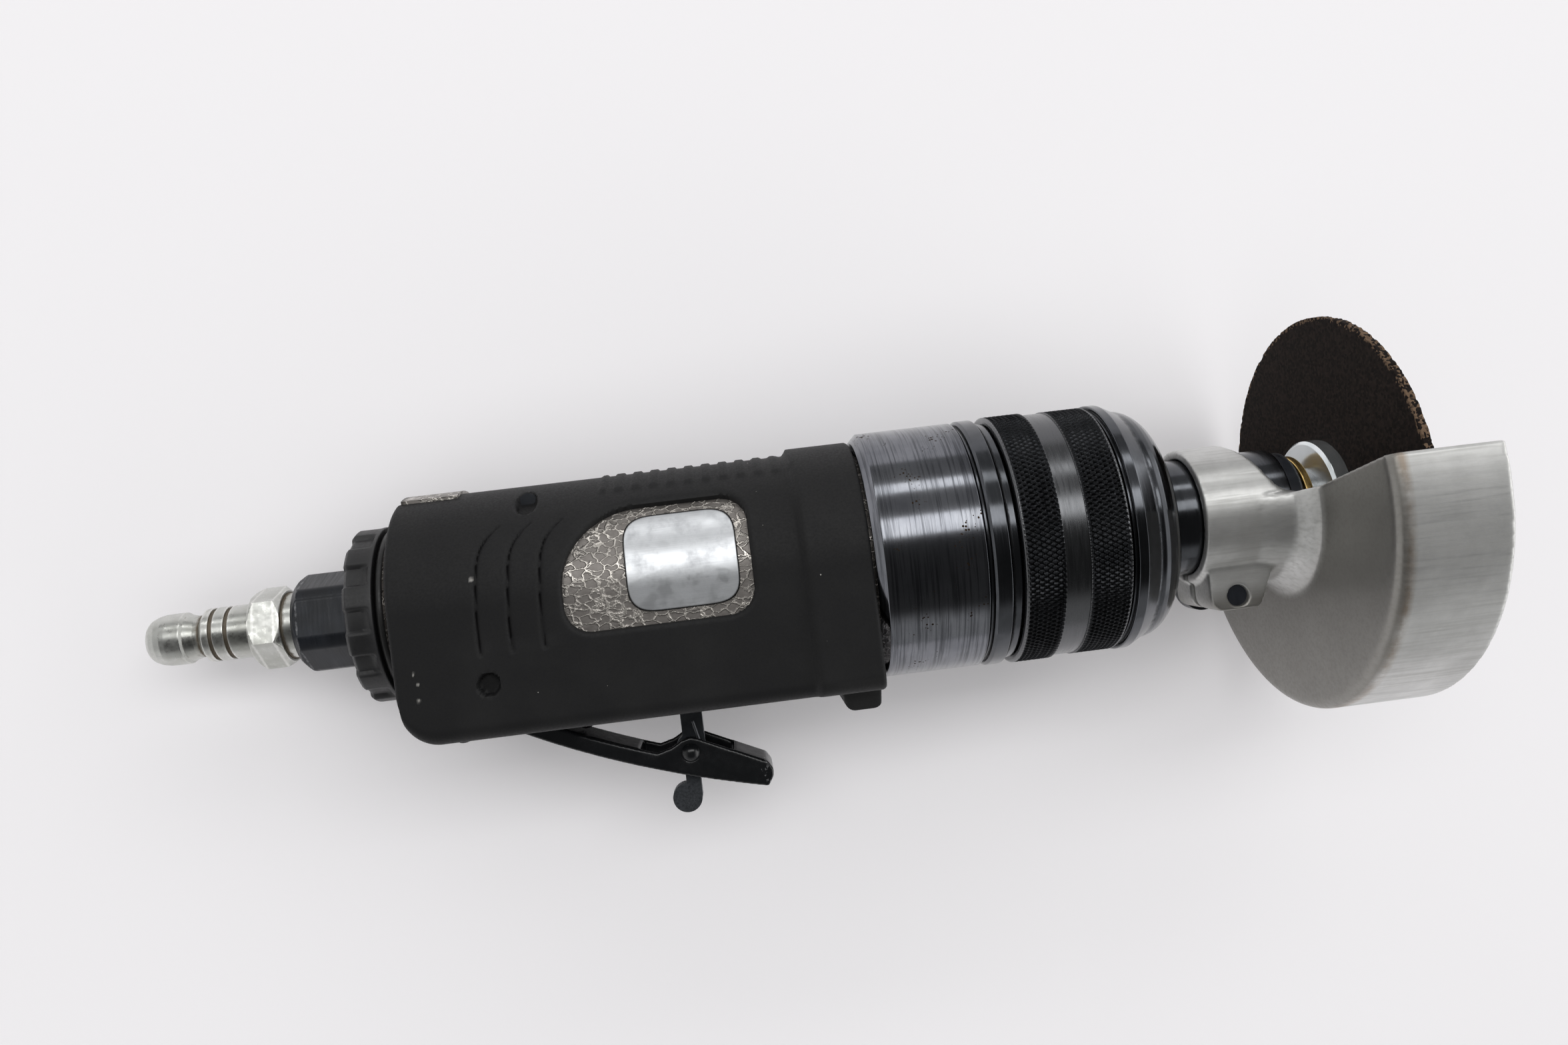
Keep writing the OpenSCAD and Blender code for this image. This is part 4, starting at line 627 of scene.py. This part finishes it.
# Baked black paint on steel: semi-gloss, dulled on the side towards the handle, and bare steel at the tip
lever_paint, tree, shader, place = begun("baked_black_paint", 0.0, 0.3)
scuff = add(tree, "TexNoise", {"Vector": place, "Scale": 1 / 2.2, "Detail": 6.0, "Roughness": 0.7})
along = add(tree, "SeparateXYZ", [place], "X")
tip_rub = add(tree, "MapRange", [along, 70.0, 79.0, 0.0, 0.42])
rub = add(tree, "Math", [scuff, tip_rub], operation="ADD")
bare = add(tree, "MapRange", [rub, 0.82, 0.9])
back = add(tree, "Attribute", {}, "Fac", attribute_name="back")
dulled = add(tree, "MapRange", [back, 0.7, 0.92, 0.5, 0.02])
tone = add(tree, "Mix", {0: scuff, 6: linear("#0c0d0e"), 7: linear("#151618")}, **colours)
tone = add(tree, "Mix", {0: bare, 6: tone, 7: linear("#a9aaac")}, **colours)
gloss = add(tree, "MapRange", [scuff, 0.3, 0.7, 0.16, 0.3])
bump = add(tree, "Bump", {"Height": scuff, "Strength": 0.3, "Distance": 0.00003})
wired(tree, shader, {"Base Color": tone, "Metallic": bare, "Roughness": gloss, "Specular IOR Level": dulled,
                     "Normal": bump})
lever = cast("throttle_lever_painted", "throttle_lever", 0.36, 12)
facing = np.empty(3 * len(lever.data.vertices))
lever.data.vertex_normals.foreach_get("vector", facing)
lever.data.attributes.new("back", "FLOAT", "POINT").data.foreach_set("value", facing.reshape(-1, 3) @ back_axis)
fitted(lever, lever_paint, "lever_paint", "lever", "throttle_lever")
dressed(lever_paint, "latch_pin")

# Safety latch and its spring
# A small steel catch on a pin in the lever's head: the blade blocks the lever until the thumb tab is pushed.
# A torsion spring on the pin brings it back.


def softened(name, node, width, segments=3):
    """Copy of a CAD node: its loose triangles are joined, its flat faces made whole, and its edges bevelled by a
    width in millimetres."""
    work = bmesh.new()
    work.from_mesh(frame["nodes"][node].data)
    bmesh.ops.remove_doubles(work, verts=work.verts, dist=1e-6)
    bmesh.ops.dissolve_limit(work, angle_limit=0.02, verts=work.verts, edges=work.edges)
    mesh = bpy.data.meshes.new(name)
    work.to_mesh(mesh)
    work.free()
    if "custom_normal" in mesh.attributes:
        mesh.attributes.remove(mesh.attributes["custom_normal"])
    mesh.materials.clear()
    mesh.shade_smooth()
    piece = placed(name, mesh)
    bevel = piece.modifiers.new("softened", "BEVEL")
    bevel.width, bevel.segments, bevel.limit_method, bevel.angle_limit = width / 1000, segments, "ANGLE", 0.5
    piece.modifiers.new("even", "WEIGHTED_NORMAL").keep_sharp = False
    return piece


# Blasted steel: grey, with an even matt grain
latch_steel = metal("blasted_steel", "#5d6064", "#45484c", 0.46, mark=0.4, round_marks=1.0, depth=0.01)
latch = softened("safety_latch_blasted", "safety_latch", 0.3)
fitted(latch, latch_steel, "latch_steel", "latch", "safety_latch")
latch_at, coil_r, coil_rise = np.array([60.8, -34.7, 1.9]), 2.35, 2.16
lower_leg = np.stack([np.full(10, coil_r), np.linspace(-4.5, -0.4, 10), np.zeros(10)], axis=-1)
lift = np.linspace(0.4, 6.0, 14)
upper_leg = np.stack([coil_r - 0.22 * lift, lift, np.full(14, coil_rise)], axis=-1)
latch_path = latch_at + np.concatenate([lower_leg, coil(coil_r, 2, coil_rise), upper_leg])
latch_spring = swept("latch_spring_wound", latch_path, wire_r, (0.0, 0.0, 1.0))
fitted(latch_spring, spring_steel, "latch_steel", "lever", "latch_spring")

# Air motor
# Cast iron end plates and cylinder round a slotted steel rotor on ball bearings, with sliding vanes of laminate.
# A steel coupling carries the rotor's turn to the spindle.
motor_iron = metal("ground_cast_iron", "#8a8a88", "#6f6f6d", 0.42, mark=0.5)
dressed(motor_iron, "motor_rear_plate", "motor_cylinder", "motor_front_plate", "motor_spacer")
dressed(ground_steel, "rotor", "motor_outer_races", "motor_inner_races", "bearing_balls", "drive_coupling")
# Resin and cloth laminate, brown with a woven fleck
laminate, tree, shader, place = begun("cloth_laminate", 0.0, 0.5)
weave = add(tree, "TexVoronoi", {"Vector": place, "Scale": 1 / 0.5})
tone = add(tree, "Mix", {0: weave, 6: linear("#7d5a38"), 7: linear("#5f4329")}, **colours)
wired(tree, shader, {"Base Color": tone})
dressed(laminate, "vanes")

# Clamp nut
# The polished and blued steel ring that screws the motor head to the handle. It is turned, with a bright rear bevel,
# fine lathe marks, scratches from handling and a few rust pits.
# Painted shade: the deeper lathe marks are coloured a darker grey, for the dark that their sides would mirror
polished = metal("polished_blued_steel", "#85878c", "#6c6e74", 0.15, patch=16, mark=0.55, round_marks=0.025,
                 depth=0.005, dirt="#3a2f26", mark_shade="#3d3f43", pitted="#33291f")
nut = turned("clamp_nut_polished", [
    (100.0, 20.25), (100.0, 23.4, 0.3), (101.6, 25.0, 0.4), (120.6, 25.0, 0.2), (121.0, 24.6, 0.2), (121.0, 16.0),
    (111.0, 16.0), (111.0, 20.25)], steps=240)
fitted(nut, polished, "polished_steel", "handle", "clamp_nut")

# Head ring and carrier
# Black oxide steel: a stepped ring against the nut, and the carrier tube on which the lock collar turns.
ring = turned("head_ring_turned", [
    (121.0, 21.0), (121.0, 24.2, 0.3), (121.7, 24.2, 0.2), (121.7, 24.7, 0.2), (122.2, 25.2, 0.3), (124.9, 25.2, 0.3),
    (125.4, 24.7, 0.2), (125.4, 24.2, 0.2), (127.1, 24.2, 0.3), (127.1, 21.0)], steps=220)
# Polished black oxide: a thin grey-black skin that mirrors the room, with dirt in its inner corners
glossy_oxide = metal("polished_black_oxide", "#5a5c60", "#47494c", 0.16, patch=12, mark=0.4, round_marks=0.04,
                     depth=0.003, dirt="#0d0c0b")
fitted(ring, glossy_oxide, "black_steel", "handle", "head_ring")
dressed(black_oxide, "head_carrier")

# Lock collar
# A black oxide steel collar with two bands of diamond knurl and a bare smooth band between them. The knurl is rolled
# in, about 1.1 mm round by 1.8 mm along, and its points are rubbed bright.
collar_x0, band_x0, band_x1, collar_x1 = 127.4, 135.13, 140.03, 148.3
diamonds, diamond_l, knurl_depth, collar_edge = 146, 1.8, 0.38, 0.6
rear_r, smooth_r, front_r, rear_face_r, front_face_r, bore_r = 25.4, 24.9, 25.1, 24.7, 24.4, 21.05
x = np.concatenate([np.full(6, collar_x0), collar_x0 + np.array([0.05, 0.2, 0.4]),
                    stations((collar_x0 + collar_edge, band_x0, 0.26), (band_x0, band_x0 + 0.1, 0.05),
                             (band_x0 + 0.1, band_x1 - 0.1, 0.6), (band_x1 - 0.1, band_x1, 0.05),
                             (band_x1, collar_x1 - collar_edge, 0.26)),
                    collar_x1 - np.array([0.4, 0.2, 0.05]), np.full(6, collar_x1)])
plain = np.select([x < band_x0 + 0.01, x < band_x1 - 0.01], [rear_r, smooth_r], front_r)
plain = plain - rolled(np.minimum(x - collar_x0, collar_x1 - x), collar_edge, collar_edge)
plain[:6], plain[-6:] = np.linspace(bore_r, rear_face_r, 6), np.linspace(front_face_r, bore_r, 6)
angle = np.linspace(0, 2 * np.pi, diamonds * 6, endpoint=False)
around = diamonds * angle / (2 * np.pi)
one, other = around + x[:, None] / diamond_l, around - x[:, None] / diamond_l
point = np.minimum(1 - np.abs(2 * (one % 1) - 1), 1 - np.abs(2 * (other % 1) - 1))
in_band = np.clip(np.minimum.reduce([x - collar_x0 - 0.5, collar_x1 - 0.5 - x,
                                     np.maximum(band_x0 - 0.1 - x, x - band_x1 - 0.1)]) / 0.3, 0, 1)[:, None]
far = plain[:, None] - knurl_depth * in_band * (1 - np.clip(point * 1.25, 0, 1))
grid = np.stack([x[:, None] + 0 * angle, far * np.cos(angle), far * np.sin(angle)], axis=-1)
stands = np.where(in_band > 0.5, 1.5 * point - 0.75, 1.2)
lock = surface("lock_collar_knurled", grid, around=True, along=True, marks={"edge": stands})
knurled_steel = metal("knurled_black_steel", "#2a2b2d", "#1f2022", 0.24, mark=0.5, worn="#5f6062", dirt="#0a0909",
                      worn_from=0.66)
fitted(lock, knurled_steel, "black_steel", "lock_ring", "lock_collar")

# Nose piece, spindle neck and end cap
# Black oxide steel: the domed nose closes the head, and the plain neck carries the spindle bearings and the guard.
# The end cap screws into the neck.
dome = [(154.0 + 6.6 * np.sin(a), 14.5 + 9.1 * np.cos(a), 2.0) for a in np.radians(np.arange(0, 90, 9))]
for name, node, finish, steps, outline in (
        ("nose_piece_turned", "nose_piece", glossy_oxide, 220, [
            (148.6, 12.0), (148.6, 24.4, 0.1), (149.1, 24.4), (149.1, 25.3, 0.3), (150.9, 25.3, 0.6), *dome,
            (160.6, 14.5, 0.3), (160.6, 12.0)]),
        ("spindle_neck_turned", "spindle_housing", glossy_oxide, 160, [
            (139.0, 9.5), (139.0, 15.95), (148.6, 15.95), (148.6, 11.95), (186.1, 11.95, 0.3), (186.1, 9.5),
            (178.1, 9.5), (178.1, 6.5), (146.0, 6.5), (146.0, 9.5)]),
        ("end_cap_turned", "end_cap", black_oxide, 120, [
            (184.1, 7.75), (184.1, 9.45), (186.1, 9.45), (186.1, 11.0, 0.2), (189.1, 11.0, 0.4), (189.1, 5.9, 0.2),
            (184.6, 5.9), (184.6, 7.75)])):
    fitted(turned(name, outline, steps=steps), finish, "black_steel", "handle", node)
dressed(ground_steel, "spindle_outer_races", "spindle_inner_races", "spindle")

# Wheel guard
# An aluminium casting: a split clamp on the neck, a flat plate and a turned skirt round half the wheel. The casting
# skin is satin and grey, with fine streaks along the skirt and brown dust in the corner. The plate is painted a
# darker grey as painted shade.
guard = cast("wheel_guard_cast", "wheel_guard", 0.45, 5)
# Cast aluminium: pale grey metal with a soft satin skin, and painted shade on the flat plate, a darker grey
cast_aluminium, tree, shader, place = begun("cast_aluminium", 0.8, 0.38)
cloud = add(tree, "TexNoise", {"Vector": place, "Scale": 1 / 11, "Detail": 6.0, "Roughness": 0.65})
spread = add(tree, "MapRange", [cloud, 0.35, 0.65])
tone = add(tree, "Mix", {0: spread, 6: linear("#d2d2d0"), 7: linear("#bdbdbb")}, **colours)
streaks = add(tree, "Mapping", {"Vector": place, "Scale": (1 / 14.0, 1 / 0.7, 1 / 0.7)})
streak = add(tree, "TexNoise", {"Vector": streaks, "Scale": 1.0, "Detail": 4.0})
worn = add(tree, "MapRange", [streak, 0.45, 0.7, 0.0, 0.3])
tone = add(tree, "Mix", {0: worn, 6: tone, 7: linear("#94948f")}, **colours)
station = add(tree, "SeparateXYZ", [place], "X")
off_corner = add(tree, "Math", [station, 190.4], operation="SUBTRACT")
off_corner = add(tree, "Math", [off_corner], operation="ABSOLUTE")
square = add(tree, "Mapping", {"Vector": place, "Scale": (0, 1, 1)})
from_axis = add(tree, "VectorMath", [square], "Value", operation="LENGTH")
outside = add(tree, "MapRange", [from_axis, 39.0, 42.5])
corner = add(tree, "MapRange", [off_corner, 1.5, 0.3])
stain = add(tree, "Math", [outside, corner], operation="MULTIPLY")
patchy = add(tree, "MapRange", [cloud, 0.35, 0.6, 0.0, 0.75])
stain = add(tree, "Math", [stain, patchy], operation="MULTIPLY")
tone = add(tree, "Mix", {0: stain, 6: tone, 7: linear("#85735f")}, **colours)
# Painted shade: the flat plate, away from the boss, is mixed towards a darker grey
on_plate = add(tree, "MapRange", [station, 190.7, 189.4, 0.0, 0.78])
off_boss = add(tree, "MapRange", [from_axis, 17.0, 20.0])
plate_shade = add(tree, "Math", [on_plate, off_boss], operation="MULTIPLY")
tone = add(tree, "Mix", {0: plate_shade, 6: tone, 7: linear("#7d7a74")}, **colours)
gloss = add(tree, "MapRange", [streak, 0.3, 0.7, 0.31, 0.45])
skin = add(tree, "TexNoise", {"Vector": place, "Scale": 1 / 0.8, "Detail": 4.0})
bump = add(tree, "Bump", {"Height": skin, "Strength": 0.35, "Distance": 0.00003})
wired(tree, shader, {"Base Color": tone, "Roughness": gloss, "Normal": bump})
fitted(guard, cast_aluminium, "cast_aluminium", "guard", "wheel_guard")
dressed(black_oxide, "clamp_screw")

# Brass ring, flanges and screw
# A brass ring and a bright zinc plated flange sit behind the wheel. A second flange and a socket screw hold it.
brass_ring = turned("brass_ring_turned", [
    (190.0, 7.0), (190.0, 10.0, 0.3), (191.6, 10.0, 0.3), (191.6, 7.0)], steps=120)
fitted(brass_ring, brass_metal, "brass", "wheel", "brass_ring")
# Bright zinc plate: cool and pale, with a slight blue
zinc_plate = metal("zinc_plate", "#f0f5f6", "#dde4e6", 0.2, metallic=0.9, mark=0.4, depth=0.002)
for node, outline in (
        ("inner_flange", [(194.6, 4.8), (194.6, 12.1, 0.2), (195.2, 12.7, 0.2), (198.1, 12.7, 0.1), (198.1, 8.7),
                          (197.5, 8.7), (197.5, 4.8)]),
        ("outer_flange", [(200.3, 3.05), (200.3, 8.7), (199.7, 8.7), (199.7, 12.7, 0.1), (202.6, 12.7, 0.2),
                          (203.2, 12.1, 0.2), (203.2, 3.05)])):
    fitted(turned(node + "_turned", outline, steps=140), zinc_plate, "plated_steel", "wheel", node)
dressed(black_oxide, "arbor_screw")

# Cutting wheel
# A thin disc of abrasive grit and glass mesh bonded with brown resin, pressed and baked. Its edge is worn ragged.
wheel_x, wheel_r, wheel_t, wheel_bore, rim_steps, blur = 198.1, 38.1, 1.6, 4.8, 720, 5
bites = np.random.default_rng(7).uniform(0, 1, rim_steps + blur - 1)
bites = np.convolve(bites, np.ones(blur) / blur, "valid")


def ragged(x, far, angle):
    """Worn rim: the outer edge loses up to a millimetre by a smoothed random share of the angle."""
    bite = bites[np.rint(angle / (2 * np.pi) * rim_steps).astype(int) % rim_steps]
    return np.where(far > 30, far - 1.3 * np.abs(bite - 0.5), far)


disc = turned("cutting_wheel_pressed", [
    (wheel_x, wheel_bore), (wheel_x, wheel_r, 0.15), (wheel_x + wheel_t, wheel_r, 0.15),
    (wheel_x + wheel_t, wheel_bore)], steps=rim_steps, shape=ragged)
# Resin bonded grit: dark brown with paler grains of half a millimetre, rust brown on the rim
abrasive, tree, shader, place = begun("resin_bonded_grit", 0.0, 0.85)
grit = add(tree, "TexVoronoi", {"Vector": place, "Scale": 1 / 0.55}, "Color")
grain = add(tree, "SeparateXYZ", [grit], "X")
tone = add(tree, "Mix", {0: grain, 6: linear("#120e0c"), 7: linear("#29211d")}, **colours)
square = add(tree, "Mapping", {"Vector": place, "Scale": (0, 1, 1)})
from_axis = add(tree, "VectorMath", [square], "Value", operation="LENGTH")
rim = add(tree, "MapRange", [from_axis, 36.0, 37.9])
bare = add(tree, "Math", [grain, rim], operation="MULTIPLY")
bare = add(tree, "MapRange", [bare, 0.5, 0.62])
tone = add(tree, "Mix", {0: bare, 6: tone, 7: linear("#6b5847")}, **colours)
shader["Specular IOR Level"].default_value = 0.15
bump = add(tree, "Bump", {"Height": grain, "Strength": 0.8, "Distance": 0.00012})
wired(tree, shader, {"Base Color": tone, "Normal": bump})
fitted(disc, abrasive, "wheel_abrasive", "wheel", "cutting_wheel")

# Table
# A wide sheet of plain pale laminate that the tool lies on.
half_table = 6.0
table_mesh = bpy.data.meshes.new("table")
table_mesh.from_pydata(half_table * np.array([(-1, -1, 0), (1, -1, 0), (1, 1, 0), (-1, 1, 0)]), [], [(0, 1, 2, 3)])
table = placed("table", table_mesh)
tabletop, tree, shader, place = begun("pale_laminate", 0.0, 0.6, "#f9f7f9")
table_mesh.materials.append(tabletop)

# Light and camera
# Two long soft boxes over the tool's back side and a broad one overhead that only fills the shadows. The room is
# dim, with a pale back wall and low front wall, brighter beyond the wheel. The camera stands where the photograph
# was taken.
scene = bpy.context.scene
scene.view_settings.view_transform = "Standard"
world = bpy.data.worlds.new("room")
world.use_nodes = True
scene.world = world
tree = world.node_tree
way = add(tree, "TexCoord", {}, "Generated")
level, wall_fade = 0.055, 0.28
for part, start, end, top, over in (("X", 0.55, 0.95, 2.0, None), ("X", -0.55, -0.95, 0.6, None),
                                    ("Y", 0.2, 0.55, 0.25, None), ("Y", -0.3, -0.7, 0.42, 0.62)):
    wall = add(tree, "MapRange", [add(tree, "SeparateXYZ", [way], part), start, end, 0.0, top],
               interpolation_type="SMOOTHSTEP")
    if over:
        low = add(tree, "MapRange", [add(tree, "SeparateXYZ", [way], "Z"), over, over - wall_fade],
                  interpolation_type="SMOOTHSTEP")
        wall = add(tree, "Math", [wall, low], operation="MULTIPLY")
    level = add(tree, "Math", [level, wall], operation="ADD")
tree.links.new(level, tree.nodes["Background"].inputs["Strength"])
tree.nodes["Background"].inputs["Color"].default_value = linear("#ffffff")
for box_name, lean, distance, width, power in (("high_box", 23.5, 2.5, 0.75, 22.0), ("low_box", 60.5, 2.5, 0.4, 10.5),
                                               ("fill_box", -10.0, 2.5, 2.6, 25.0)):
    lamp = bpy.data.lights.new(box_name, "AREA")
    lamp.shape, lamp.size, lamp.size_y, lamp.energy = "RECTANGLE", 3.3, width, power
    away = np.array([0.0, np.sin(np.radians(lean)), np.cos(np.radians(lean))])
    shown = placed(box_name, lamp)
    shown.visible_glossy = box_name != "fill_box"
    side = np.array([1.0, 0.0, 0.0])
    turn_to = np.stack([side, np.cross(away, side), away], axis=1)
    shown.matrix_world = Matrix.Translation(away * distance) @ Matrix(turn_to.tolist()).to_4x4()
camera_at = np.array([74.1, 10.1, 232.2])
look, camera_up = np.array([0.0472, -0.0057, -0.9989]), np.array([0.1192, 0.9929, 0.0])
look = look / np.linalg.norm(look) @ tool_axes
across = np.cross(look, camera_up @ tool_axes)
across /= np.linalg.norm(across)
camera = placed("camera", bpy.data.cameras.new("camera"))
camera.data.sensor_fit, camera.data.sensor_width, camera.data.lens = "HORIZONTAL", 36.0, 25.97
camera.data.clip_start = 0.01
turn_to = np.stack([across, np.cross(across, look), -look], axis=1)
camera.matrix_world = Matrix.Translation(laid(camera_at)) @ Matrix(turn_to.tolist()).to_4x4()
scene.camera = camera
